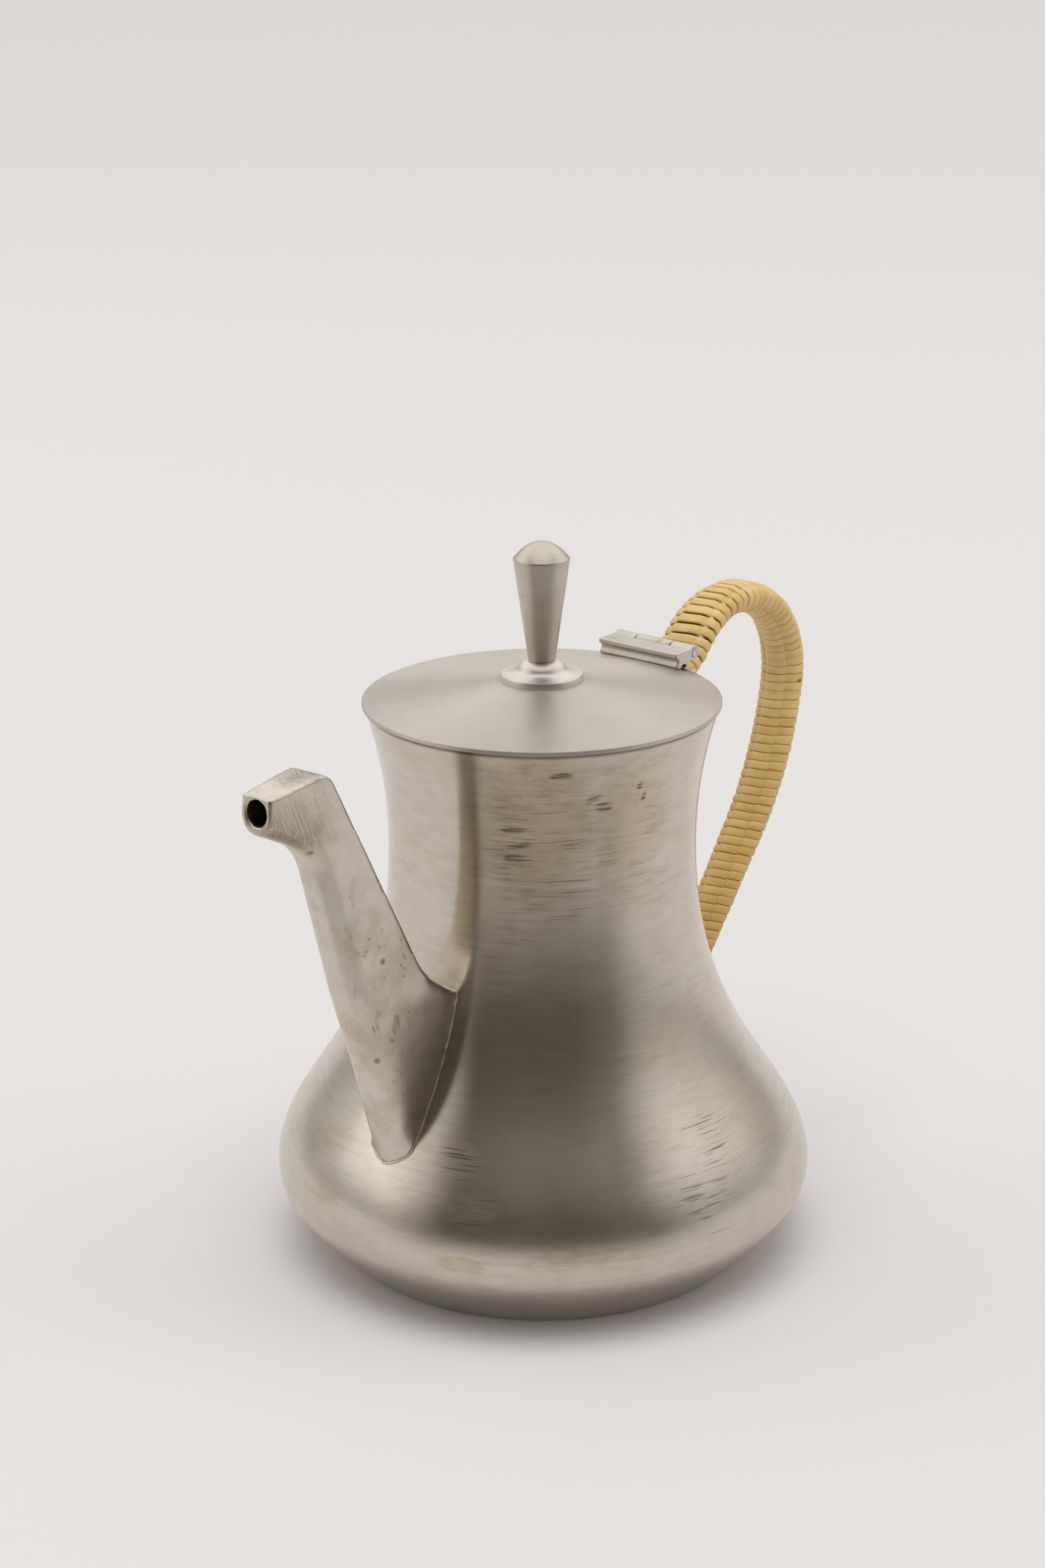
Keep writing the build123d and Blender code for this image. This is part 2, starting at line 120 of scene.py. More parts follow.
class Bench:
    """Node tree in which one finish is mixed."""

    def __init__(self, name: str, owner: bpy.types.World | None = None) -> None:
        """Makes an empty node tree.

        Args:
            name: Name of the finish.
            owner: World that the tree belongs to, or None for a new material.
        """
        self.material = owner or bpy.data.materials.new(name)
        self.material.use_nodes = True
        self.tree = self.material.node_tree
        self.tree.nodes.clear()
        self._place: bpy.types.NodeSocket | None = None

    def node(
        self,
        kind: str,
        settings: dict[str, object] | None = None,
        inputs: dict[str | int, object] | None = None,
    ) -> bpy.types.Node:
        """Adds a node of any type.

        Args:
            kind: The node's type.
            settings: Its own settings, which are set first.
            inputs: Values or links of its sockets, by name or by number.

        Returns:
            The node.
        """
        made = self.tree.nodes.new(kind)
        for key, value in (settings or {}).items():
            setattr(made, key, value)
        for key, value in (inputs or {}).items():
            if isinstance(value, Value):
                value = value.socket
            if isinstance(value, bpy.types.NodeSocket):
                self.tree.links.new(value, made.inputs[key])
            else:
                made.inputs[key].default_value = value
        return made

    def maths(self, operation: str, *terms: Term) -> Value:
        """Adds a Math node.

        Args:
            operation: The node's operation.
            *terms: Its inputs in order.

        Returns:
            The node's result.
        """
        made = self.node("ShaderNodeMath", {"operation": operation}, dict(enumerate(terms)))
        return Value(self, made.outputs[0])

    def place(self) -> bpy.types.NodeSocket:
        """Finds the point on the object.

        Returns:
            The point, in the object's own metres.
        """
        if self._place is None:
            self._place = self.node("ShaderNodeTexCoord").outputs["Object"]
        return self._place

    def axes(self, vector: bpy.types.NodeSocket | None = None) -> tuple[Value, Value, Value]:
        """Splits a vector.

        Args:
            vector: The vector, or None for the point on the object.

        Returns:
            Its three components.
        """
        made = self.node("ShaderNodeSeparateXYZ", None, {"Vector": vector or self.place()})
        return tuple(Value(self, socket) for socket in made.outputs)

    def vector(self, x: Term, y: Term, z: Term) -> bpy.types.NodeSocket:
        """Vector made of three values."""
        return self.node("ShaderNodeCombineXYZ", None, {"X": x, "Y": y, "Z": z}).outputs[0]

    def stored(self, name: str, output: str) -> bpy.types.NodeSocket:
        """Value or vector that the mesh stores under a name."""
        return self.node("ShaderNodeAttribute", {"attribute_name": name}).outputs[output]

    def noise(
        self,
        scale: float,
        detail: float = 2.0,
        rough: float = 0.5,
        vector: bpy.types.NodeSocket | None = None,
    ) -> Value:
        """Cloudy noise.

        Args:
            scale: Number of lumps in a metre.
            detail: Number of finer layers.
            rough: Strength of the finer layers.
            vector: Where to read it, or None for the point on the object.

        Returns:
            A value around 0.5.
        """
        made = self.node(
            "ShaderNodeTexNoise",
            None,
            {"Vector": vector or self.place(), "Scale": scale, "Detail": detail, "Roughness": rough},
        )
        return Value(self, made.outputs[0])

    def spots(self, scale: float) -> Value:
        """Distance to the nearest of many scattered points, in cells."""
        made = self.node("ShaderNodeTexVoronoi", None, {"Vector": self.place(), "Scale": scale})
        return Value(self, made.outputs[0])

    def blend(
        self, under: Colour | bpy.types.NodeSocket, over: Colour | bpy.types.NodeSocket, share: Term
    ) -> bpy.types.NodeSocket:
        """Mixes two colours.

        Args:
            under: Colour where the share is 0.
            over: Colour where the share is 1.
            share: How much of the second colour shows.

        Returns:
            The mixed colour.
        """
        sides = [(*side, 1.0) if isinstance(side, tuple) else side for side in (under, over)]
        made = self.node("ShaderNodeMix", {"data_type": "RGBA"}, {0: share, 6: sides[0], 7: sides[1]})
        return made.outputs[2]

    def bump(self, height: Value) -> bpy.types.NodeSocket:
        """Normal that a small relief gives.

        Args:
            height: The relief in metres.

        Returns:
            The normal.
        """
        return self.node("ShaderNodeBump", None, {"Distance": 1.0, "Height": height}).outputs[0]

    def surface(self, **sockets: object) -> bpy.types.Material:
        """Finishes the material with a Principled surface.

        Args:
            **sockets: Its sockets by name, with _ for each space.

        Returns:
            The material.
        """
        inputs = {key.replace("_", " "): value for key, value in sockets.items()}
        for key in ("Base Color", "Emission Color"):
            if isinstance(inputs.get(key), tuple):
                inputs[key] = (*inputs[key], 1.0)
        shader = self.node("ShaderNodeBsdfPrincipled", None, inputs)
        self.node("ShaderNodeOutputMaterial", None, {"Surface": shader.outputs[0]})
        return self.material


class Brushing(Enum):
    """Way in which the fine lines of a metal run."""

    ROUND_A_WALL = "round the axis on an upright wall"
    ROUND_A_FACE = "round the axis on a flat face"
    ALONG_THE_SPOUT = "up and down the casting"
    CROSSED = "both ways, as files and cloth leave them"


@dataclass(frozen=True)
class Mark:
    """Worn, stained or scratched patch, as an ellipsoid in the pot's frame, in millimetres.

    The strength is the share of the patch that shows in its middle, and the raggedness is
    how strongly a noise breaks it up.
    """

    centre: Point
    size: Point
    strength: float = 1.0
    raggedness: float = 4.0
    edge: Span = (0.35, 0.95)

    def nearness(self, bench: Bench) -> Value:
        """Measures how far inside the patch each point is.

        Args:
            bench: The finish's node tree.

        Returns:
            1 in the middle of the patch, 0 on its ellipsoid and less outside.
        """
        total: Term = 0.0
        for axis, middle, half in zip(bench.axes(), self.centre, self.size):
            offset = (axis - middle * MM) * (1 / (half * MM))
            total = offset * offset + total
        return 1.0 - total

    def mask(self, bench: Bench, ragged: Value) -> Value:
        """Share of the patch at each point.

        Args:
            bench: The finish's node tree.
            ragged: Noise around 0.5 that breaks the patch up.

        Returns:
            A value from 0 outside to the patch's strength inside.
        """
        return (self.nearness(bench) + (ragged - 0.5) * self.raggedness).ramp(*self.edge) * self.strength


@dataclass(frozen=True)
class Pewter:
    """Grey metal with fine lines, a mottled patina, pits and marks of use.

    A field whose name ends in _from holds the two values of a noise between which an
    effect grows, and one whose name ends in _share says how much of it shows at most.
    Painted shade darkens the metal above a height, as the shadow under the lid's edge falls on
    the neck; that height is out of reach unless it is set. The two numbers of wall_rings and
    face_rings are the parts that height and reach have in the place of a line.
    """

    name: str
    brushing: Brushing
    bright: Colour = (0.64, 0.59, 0.515)
    warm: Colour = (0.54, 0.435, 0.285)
    dull: Colour = (0.40, 0.355, 0.29)
    # Dark colour of real grime, soot, pits, stains and dark scratches, and of the painted shade under the
    # lid's edge.
    grime_and_shade: Colour = (0.085, 0.068, 0.05)
    roughness: float = 0.21
    anisotropy: float = 0.8
    line_size: Span = (0.024, 0.0004)
    streak_size: Span = (0.010, 0.0016)
    hair_size: Span = (0.013, 0.00042)
    wall_rings: Span = (0.96, -0.2)
    face_rings: Span = (0.2, 1.0)
    crossed_rise: float = 0.5
    line_depth: float = 0.000004
    cloud_scale: float = 26.0
    mottle_scale: float = 85.0
    grain: float = 0.5
    wave_scale: float = 24.0
    wave_depth: float = 0.00015
    patina: float = 0.5
    pits: float = 0.0
    pit_scales: Span = (120.0, 460.0)
    large_pits_from: Span = (0.16, 0.05)
    large_groups_from: Span = (0.5, 0.62)
    small_pits_from: Span = (0.26, 0.08)
    small_groups_from: Span = (0.52, 0.64)
    small_pits_share: float = 0.7
    pits_share: float = 0.7
    pit_depth: float = 0.00006
    # Height above which painted shade darkens the metal, as the shadow under the lid's edge.
    painted_shade_above: float = 9.0
    dull_from: Span = (0.4, 0.7)
    brown_from: Span = (0.46, 0.62)
    brown_share: float = 0.75
    tarnish_share: float = 0.85
    soot_from: Span = (0.42, 0.68)
    soot_share: float = 0.3
    lines_above: float = 0.4
    lines_share: float = 0.6
    dark_hairs_from: Span = (0.58, 0.68)
    pale_hairs_from: Span = (0.42, 0.32)
    hairs_share: float = 0.1
    dark_scratch_share: float = 0.65
    pale_scratch_share: float = 0.4
    stain_gaps_from: Span = (0.42, 0.56)
    stain_least: float = 0.2
    # Least share of the painted shade under the lid's edge, where the cloud noise thins it.
    painted_shade_least: float = 0.4
    dents_from: Span = (0.58, 0.72)
    dent_depths: Span = (0.3, 1.6)
    cloud_roughness: float = 0.12
    worn_roughness: float = 0.06
    stain_roughness: float = 0.2
    marks_roughness: float = 0.05
    stains: tuple[Mark, ...] = ()
    scratches: tuple[Mark, ...] = ()
    tarnish: tuple[Mark, ...] = ()

    def lined(self, bench: Bench, size: Span, detail: float, rough: float) -> Value:
        """Noise that is stretched along the lines of the metal.

        Args:
            bench: The finish's node tree.
            size: Length and width of a line, in metres.
            detail: Number of finer layers.
            rough: Strength of the finer layers.

        Returns:
            A value around 0.5.
        """
        x, y, z = bench.axes()
        along, across = 1 / size[0], 1 / size[1]
        if self.brushing is Brushing.ALONG_THE_SPOUT:
            side, rise = x + z * SPOUT_LEAN, z - x * SPOUT_LEAN
            place = bench.vector(side * across, y * across, rise * along)
        elif self.brushing is Brushing.CROSSED:
            place = bench.vector((x + y) * across, (x - y) * along, z * (self.crossed_rise * across))
        else:
            reach = bench.maths("SQRT", x * x + y * y)
            up, out = self.wall_rings if self.brushing is Brushing.ROUND_A_WALL else self.face_rings
            place = bench.vector(x * along, y * along, (z * up + reach * out) * across)
        return bench.noise(1.0, detail, rough, place)

    @staticmethod
    def patches(bench: Bench, marks: Sequence[Mark], ragged: Value) -> Term:
        """Share of all patches of one kind at each point.

        Args:
            bench: The finish's node tree.
            marks: The patches.
            ragged: Noise around 0.5 that breaks them up.

        Returns:
            The share of the strongest patch, or 0 without patches.
        """
        total: Term = 0.0
        for mark in marks:
            total = mark.mask(bench, ragged).most(total)
        return total

    def make(self) -> bpy.types.Material:
        """Mixes the finish.

        Returns:
            The material.
        """
        bench = Bench(self.name)
        cloud = bench.noise(self.cloud_scale, detail=4.0, rough=0.62)
        mottle = bench.noise(self.mottle_scale, detail=4.0, rough=0.7)
        lines = self.lined(bench, self.line_size, detail=3.0, rough=0.65)
        streaks = self.lined(bench, self.streak_size, detail=4.0, rough=0.68)
        hairs = self.lined(bench, self.hair_size, detail=1.0, rough=0.5)
        waves = bench.noise(self.wave_scale, detail=1.0, rough=0.4)
        scratched = self.patches(bench, self.scratches, streaks * 0.5 + mottle * 0.3 + cloud * 0.2)
        stained = self.patches(bench, self.stains, streaks * 0.6 + mottle * 0.4)
        stained = stained * (self.stain_least + hairs.ramp(*self.stain_gaps_from) * (1 - self.stain_least))
        tarnished = self.patches(bench, self.tarnish, cloud * 0.4 + streaks * 0.45 + mottle * 0.15)
        worn = mottle * (1 - self.grain) + streaks * self.grain

        tone = bench.blend(self.bright, self.dull, worn.ramp(*self.dull_from) * self.patina)
        brown = (cloud * 0.65 + worn * 0.35).ramp(*self.brown_from) * (self.brown_share * self.patina)
        tone = bench.blend(tone, self.warm, brown.most(tarnished * self.tarnish_share))
        sooty = (mottle * 0.55 + streaks * 0.45).ramp(*self.soot_from)
        tone = bench.blend(tone, self.grime_and_shade, tarnished * sooty * self.soot_share)
        tone = bench.blend(tone, self.dull, (lines - self.lines_above) * self.grain * self.lines_share)
        hairs_share = self.hairs_share * self.grain
        dark_hairs = hairs.ramp(*self.dark_hairs_from) * (hairs_share + scratched * self.dark_scratch_share)
        pale_hairs = hairs.ramp(*self.pale_hairs_from) * (hairs_share + scratched * self.pale_scratch_share)
        tone = bench.blend(tone, self.grime_and_shade, dark_hairs)
        tone = bench.blend(tone, self.bright, pale_hairs)
        # Painted shade: above a height the metal darkens as the shadow under the lid's edge does; the real
        # stains share this dark colour.
        height = bench.axes()[2]
        painted_shade = height.ramp(self.painted_shade_above, self.painted_shade_above + MM)
        painted_shade = painted_shade * (self.painted_shade_least + cloud * (1 - self.painted_shade_least))
        tone = bench.blend(tone, self.grime_and_shade, painted_shade.most(stained))

        shallow, deep = self.dent_depths
        dents = hairs.ramp(*self.dents_from) * (shallow + scratched * deep)
        relief = (lines - dents) * self.line_depth + waves * self.wave_depth
        rough = self.roughness + (cloud - 0.5) * self.cloud_roughness + (worn - 0.5) * self.worn_roughness
        rough = rough + stained * self.stain_roughness + (tarnished + scratched) * self.marks_roughness
        if self.pits:
            large, small = [bench.spots(scale) for scale in self.pit_scales]
            large = large.ramp(*self.large_pits_from) * cloud.ramp(*self.large_groups_from)
            small = small.ramp(*self.small_pits_from) * mottle.ramp(*self.small_groups_from)
            pitted = large.most(small * self.small_pits_share) * self.pits
            tone = bench.blend(tone, self.grime_and_shade, pitted * self.pits_share)
            relief = relief - pitted * self.pit_depth
        return bench.surface(
            Base_Color=tone,
            Metallic=1.0,
            Roughness=rough,
            Anisotropic=self.anisotropy,
            Anisotropic_Rotation=0.25,
            Normal=bench.bump(relief),
        )


@dataclass(frozen=True)
class Cane:
    """Glossy split cane, its fibres along the strip, deeper in colour low down.

    Scales are along and across the strip. Painted shade darkens the strip towards its edges and
    in the grooves between windings, more where they stand open; the two numbers of edge_shade_shares
    and groove_shade_shares are the share in tight windings and what open windings add to it.
    """

    name: str = "split_cane"
    pale: Colour = (0.80, 0.585, 0.235)
    straw: Colour = (0.67, 0.42, 0.115)
    deep: Colour = (0.50, 0.275, 0.065)
    # Dark colour of the real spots and knots, and of the painted shade in the grooves between windings.
    dark_marks_and_groove_shade: Colour = (0.13, 0.065, 0.022)
    fibre_scale: Span = (60.0, 4200.0)
    blotch_scale: Span = (130.0, 420.0)
    low_part: Span = (0.15, 0.08)
    low_ripeness: float = 0.34
    low_share: float = 0.14
    strip_spread: float = 0.5
    blotch_spread: float = 1.4
    straw_from: Span = (-0.1, 1.0)
    fibres_from: Span = (0.48, 0.74)
    fibres_share: float = 0.28
    # Painted shade towards the strip's edges and in the grooves between windings, more where the windings
    # stand open.
    edge_shade_from: Span = (0.86, 0.985)
    edge_shade_shares: Span = (0.35, 0.35)
    groove_shade_from: Span = (0.97, 1.0)
    groove_shade_shares: Span = (0.15, 0.7)
    spots_from: Span = (0.70, 0.78)
    spots_share: float = 0.4
    roughness: float = 0.38
    fibre_roughness: float = 0.25
    coat: float = 0.15
    coat_roughness: float = 0.25
    fibre_depth: float = 0.00006
    blotch_depth: float = 0.0001
    knots: tuple[Mark, ...] = (Mark((115.5, -7.5, 142.0), (1.8, 3.0, 1.5), 0.8, 2.5),)

    def make(self) -> bpy.types.Material:
        """Mixes the finish.

        Returns:
            The material.
        """
        bench = Bench(self.name)
        along, across, openness = bench.axes(bench.stored("strip_place", "Vector"))
        height = bench.axes()[2]
        strip_tone = Value(bench, bench.stored("strip_tone", "Fac"))
        edge = Value(bench, bench.stored("strip_edge", "Fac"))
        fibre_place, blotch_place = [
            bench.vector(along * scale[0], across * scale[1], 0.0)
            for scale in (self.fibre_scale, self.blotch_scale)
        ]
        fibres = bench.noise(1.0, detail=3.0, rough=0.6, vector=fibre_place)
        blotch = bench.noise(1.0, detail=3.0, rough=0.55, vector=blotch_place)
        low = height.ramp(*self.low_part)
        ripe = strip_tone * self.strip_spread + (blotch - 0.5) * self.blotch_spread + low * self.low_ripeness
        tone = bench.blend(self.pale, self.straw, ripe.ramp(*self.straw_from))
        fibrous = low * self.low_share + fibres.ramp(*self.fibres_from) * self.fibres_share
        tone = bench.blend(tone, self.deep, fibrous)
        # Painted shade: the strip darkens towards its edges and in the grooves between windings, more where
        # the windings stand open.
        tight, opened = self.edge_shade_shares
        tone = bench.blend(tone, self.deep, edge.ramp(*self.edge_shade_from) * (tight + openness * opened))
        tight, opened = self.groove_shade_shares
        tone = bench.blend(tone, self.dark_marks_and_groove_shade, edge.ramp(*self.groove_shade_from) * (tight + openness * opened))
        tone = bench.blend(tone, self.dark_marks_and_groove_shade, blotch.ramp(*self.spots_from) * self.spots_share)
        for knot in self.knots:
            tone = bench.blend(tone, self.dark_marks_and_groove_shade, knot.mask(bench, blotch))
        return bench.surface(
            Base_Color=tone,
            Roughness=self.roughness + (fibres - 0.5) * self.fibre_roughness,
            Coat_Weight=self.coat,
            Coat_Roughness=self.coat_roughness,
            Normal=bench.bump(fibres * self.fibre_depth + blotch * self.blotch_depth),
        )


@dataclass(frozen=True)
class Paper:
    """Matt pale sweep."""

    name: str = "pale_sweep"
    tone: Colour = (0.80, 0.775, 0.768)
    roughness: float = 0.9

    def make(self) -> bpy.types.Material:
        """Mixes the finish."""
        bench = Bench(self.name)
        return bench.surface(Base_Color=self.tone, Roughness=self.roughness, Specular_IOR_Level=0.0)


def dress(node: str, material: bpy.types.Material) -> None:
    """Gives a CAD node its finish.

    Args:
        node: The node's name.
        material: The finish.
    """
    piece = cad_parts[node]
    piece.data.materials.clear()
    piece.data.materials.append(material)
    log.info("dressed %s with %s", node, material.name)


def wear_down(node: str, grain: float, passes: int) -> None:
    """Rounds the sharp edges of a casting as wear and polishing do.

    Args:
        node: The node's name.
        grain: Size of the mesh's new faces, in metres.
        passes: Number of smoothing passes.
    """
    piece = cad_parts[node]
    remesh = piece.modifiers.new("even_mesh", "REMESH")
    remesh.mode = "VOXEL"
    remesh.voxel_size = grain
    remesh.use_smooth_shade = True
    smooth = piece.modifiers.new("wear", "SMOOTH")
    smooth.factor = 0.5
    smooth.iterations = passes


def mesh_piece(name: str, points: np.ndarray, faces: Sequence[Sequence[int]]) -> bpy.types.Object:
    """Makes a smooth mesh object.

    Args:
        name: Name of the piece.
        points: Its corners, in metres.
        faces: Its faces, as corner numbers.

    Returns:
        The object, linked to the scene.
    """
    mesh = bpy.data.meshes.new(name)
    mesh.from_pydata([tuple(point) for point in points], [], faces)
    mesh.validate()
    mesh.shade_smooth()
    piece = bpy.data.objects.new(name, mesh)
    bpy.context.scene.collection.objects.link(piece)
    log.info("made %s", name)
    return piece


def ring_faces(rings: int, sides: int) -> list[tuple[int, int, int, int]]:
    """Faces of a closed tube whose points are numbered ring by ring.

    Args:
        rings: Number of rings, of which the last joins the first.
        sides: Number of points in a ring.

    Returns:
        The faces, as corner numbers.
    """
    faces = []
    for ring in range(rings):
        here, ahead = ring * sides, (ring + 1) % rings * sides
        for side in range(sides):
            beside = (side + 1) % sides
            faces.append((here + side, here + beside, ahead + beside, ahead + side))
    return faces


@dataclass
class Body:
    """Spun body of two shells."""

    finish: Pewter = field(
        default_factory=lambda: Pewter(
            "spun_pewter",
            Brushing.ROUND_A_WALL,
            patina=0.32,
            grain=0.55,
            # Painted shade: the top of the neck darkens where the lid's edge shadows it.
            painted_shade_above=0.1599,
            stains=(
                Mark((-33.2, -33.8, 155.0), (4.5, 4.5, 1.5), 0.8),
                Mark((-25.0, -38.0, 147.5), (5.5, 5.5, 1.8), 0.7),
                Mark((-22.5, -39.5, 145.0), (3.5, 4.0, 2.4), 0.7),
                Mark((-13.0, -44.0, 149.5), (1.3, 3.0, 2.0), 0.85),
                Mark((-11.0, -44.0, 146.0), (1.3, 3.0, 2.0), 0.8),
                Mark((-38.5, -22.5, 138.5), (5.5, 6.0, 1.4), 0.6, 5.0),
                Mark((-37.0, -24.0, 134.5), (4.5, 6.0, 1.2), 0.6, 5.0),
                Mark((-38.0, -22.0, 130.5), (5.5, 6.0, 1.2), 0.5, 5.0),
            ),
            scratches=(
                Mark((-62.0, -20.5, 50.0), (8.0, 9.0, 10.0), 0.9, 2.0),
                Mark((-66.0, -29.0, 39.0), (10.0, 10.0, 7.0), 0.9, 2.5),
                Mark((-6.5, -66.5, 49.0), (15.0, 13.0, 14.0), 0.9, 2.5),
                Mark((-18.5, -70.5, 39.0), (14.0, 13.0, 10.0), 0.8, 2.5),
                Mark((-12.5, -75.1, 29.3), (12.0, 10.0, 2.5), 1.0, 2.5),
                Mark((-37.5, -23.5, 134.0), (8.0, 9.0, 11.0), 0.8, 2.0),
                Mark((-34.0, -29.0, 132.0), (26.0, 26.0, 32.0), 0.5, 1.6),
                Mark((-12.0, -42.0, 128.0), (18.0, 14.0, 24.0), 0.3, 1.8),
                Mark((-38.0, -24.0, 100.0), (24.0, 24.0, 30.0), 0.25, 2.0),
            ),
            tarnish=(
                Mark((-36.0, -27.0, 141.0), (27.0, 27.0, 42.0), 0.95, 0.8),
                Mark((-14.0, -41.0, 141.0), (20.0, 17.0, 38.0), 0.72, 1.2),
                Mark((-46.0, -48.0, 28.0), (26.0, 24.0, 6.0), 0.5, 2.0),
                Mark((-40.0, -16.0, 120.0), (8.0, 10.0, 45.0), 0.45, 2.0),
                Mark((-70.0, -29.0, 25.5), (12.0, 12.0, 4.0), 0.5),
                Mark((-64.0, -38.0, 38.0), (22.0, 22.0, 16.0), 0.3, 3.0),
                Mark((-64.0, 25.0, 46.0), (14.0, 16.0, 9.0), 0.4, 1.5),
                Mark((-72.0, 19.0, 33.0), (10.0, 12.0, 6.0), 0.3, 2.0),
                Mark((12.0, -65.0, 50.0), (14.0, 12.0, 14.0), 0.3, 2.0),
                Mark((-8.0, -43.0, 118.0), (9.0, 8.0, 10.0), 0.25, 3.0),
            ),
        )
    )

    def build(self) -> None:
        """Dresses both shells."""
        material = self.finish.make()
        dress("body_bell", material)
        dress("body_bowl", material)


@dataclass
class Spout:
    """Cast spout with the bead of solder that joins it to the body."""

    bead_radius: float = 0.00042
    bead_step: float = 0.0008
    bead_sides: int = 10
    bead_lumps: int = 60
    bead_unevenness: float = 0.25
    weld: float = 0.00001
    contact: float = 0.00006
    grain: float = 0.0005
    edge_passes: int = 6
    edge_fade: float = 0.0006
    spread_passes: int = 320
    spread_gap: float = 0.0003
    spread_fade: float = 0.002
    soft_below: float = 0.1
    soft_fade: float = 0.025
    end_radius: float = 0.004
    end_flat: float = 0.02
    seed: int = 3
    finish: Pewter = field(
        default_factory=lambda: Pewter(
            "cast_pewter",
            Brushing.ALONG_THE_SPOUT,
            roughness=0.3,
            anisotropy=0.0,
            bright=(0.67, 0.62, 0.545),
            patina=0.5,
            pits=1.0,
            grain=0.12,
            line_depth=0.000003,
            wave_scale=70.0,
            wave_depth=0.00026,
            stains=(
                Mark((-78.0, -7.0, 92.0), (2.0, 3.0, 4.5), 0.5),
                Mark((-71.0, -7.0, 90.0), (2.0, 3.0, 3.5), 0.5),
                Mark((-79.0, -7.0, 79.0), (1.5, 3.0, 3.0), 0.45),
                Mark((-113.0, -5.0, 150.0), (3.0, 5.0, 2.5), 0.5),
                Mark((-108.0, -6.0, 153.0), (17.0, 7.0, 14.0), 0.3, 1.0),
                Mark((-102.0, 0.0, 168.0), (30.0, 13.0, 5.5), 0.75, 0.6),
            ),
            scratches=(
                Mark((-96.0, -6.0, 122.0), (5.0, 5.0, 14.0), 0.9),
                Mark((-86.0, -6.5, 98.0), (5.0, 5.0, 16.0), 0.8),
            ),
            tarnish=(
                Mark((-88.0, -6.0, 112.0), (7.0, 6.0, 22.0), 0.35, 3.0),
                Mark((-107.0, -5.0, 152.0), (22.0, 9.0, 20.0), 0.6, 1.2),
            ),
        )
    )

    @staticmethod
    def shells() -> list[BVHTree]:
        """Reads the surfaces of the body's two shells.

        Returns:
            Both surfaces, for measuring distances to them.
        """
        trees = []
        for node in ("body_bell", "body_bowl"):
            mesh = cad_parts[node].data
            faces = [tuple(face.vertices) for face in mesh.polygons]
            trees.append(BVHTree.FromPolygons([vertex.co for vertex in mesh.vertices], faces))
        return trees

    def joint_line(self) -> list[Vector]:
        """Line along which the casting's outside meets the body.

        Returns:
            Points in order round the longest edge of the faces that lie on the body.
        """
        shells = self.shells()
        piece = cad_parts["spout"]
        mesh = bmesh.new()
        mesh.from_mesh(piece.data)
        bmesh.ops.transform(mesh, matrix=piece.matrix_world, verts=mesh.verts)
        bmesh.ops.remove_doubles(mesh, verts=mesh.verts, dist=self.weld)
        near = {v: min(shell.find_nearest(v.co)[3] for shell in shells) < self.contact for v in mesh.verts}
        touching = {face for face in mesh.faces if all(near[v] for v in face.verts)}
        rim = [edge for edge in mesh.edges if sum(face in touching for face in edge.link_faces) == 1]
        ahead: dict[bmesh.types.BMVert, list[bmesh.types.BMVert]] = {}
        for edge in rim:
            for one, other in (edge.verts, reversed(edge.verts)):
                ahead.setdefault(one, []).append(other)
        loops: list[list[Vector]] = []
        left = set(ahead)
        while left:
            here = left.pop()
            loop = [here]
            while True:
                following = [v for v in ahead[here] if v in left]
                if not following:
                    break
                here = following[0]
                left.discard(here)
                loop.append(here)
            loops.append([v.co.copy() for v in loop])
        mesh.free()
        longest = max(loops, key=lambda loop: sum((a - b).length for a, b in zip(loop, loop[1:])))
        log.info("found %d edge lines, the longest with %d points", len(loops), len(longest))
        return longest

    def casting(self) -> bpy.types.Object:
        """Casting with its edges worn soft, and softest where it spreads onto the body.

        Returns:
            The casting, which stands for the node.
        """
        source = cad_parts["spout"]
        piece = bpy.data.objects.new("spout_casting", source.data.copy())
        bpy.context.scene.collection.objects.link(piece)
        remesh = piece.modifiers.new("even_mesh", "REMESH")
        remesh.mode = "VOXEL"
        remesh.voxel_size = self.grain
        seen = piece.evaluated_get(bpy.context.evaluated_depsgraph_get())
        mesh = bpy.data.meshes.new_from_object(seen)
        piece.modifiers.clear()
        piece.data = mesh
        mesh.materials.clear()
        points = np.empty(len(mesh.vertices) * 3)
        mesh.vertices.foreach_get("co", points)
        points = points.reshape(-1, 3)
        edges = np.empty(len(mesh.edges) * 2, dtype=np.int64)
        mesh.edges.foreach_get("vertices", edges)
        shells = self.shells()
        gaps = np.array([min(shell.find_nearest(Vector(point))[3] for shell in shells) for point in points])
        free = np.clip((gaps - self.spread_gap) / self.spread_fade, 0, 1)
        low = np.clip((self.soft_below - points[:, 2]) / self.soft_fade, 0, 1)
        points = self.rounded(points, points[:, 2].min())
        exposed = np.clip(gaps / self.edge_fade, 0, 1)
        points = self.worn(points, edges.reshape(-1, 2), exposed, self.edge_passes)
        points = self.worn(points, edges.reshape(-1, 2), free * low, self.spread_passes)
        mesh.vertices.foreach_set("co", points.ravel())
        mesh.shade_smooth()
        return piece

    def rounded(self, points: np.ndarray, lowest: float) -> np.ndarray:
        """Narrows the casting's lower end to a round tip.

        Args:
            points: Points of the casting or of its joint.
            lowest: Height of the casting's lowest point.

        Returns:
            The narrowed points.
        """
        rise = np.clip((points[:, 2] - lowest) / self.end_radius, self.end_flat, 1)
        narrow = np.sqrt(1 - (1 - rise) ** 2)
        return points * np.stack([np.ones_like(rise), narrow, np.ones_like(rise)], -1)

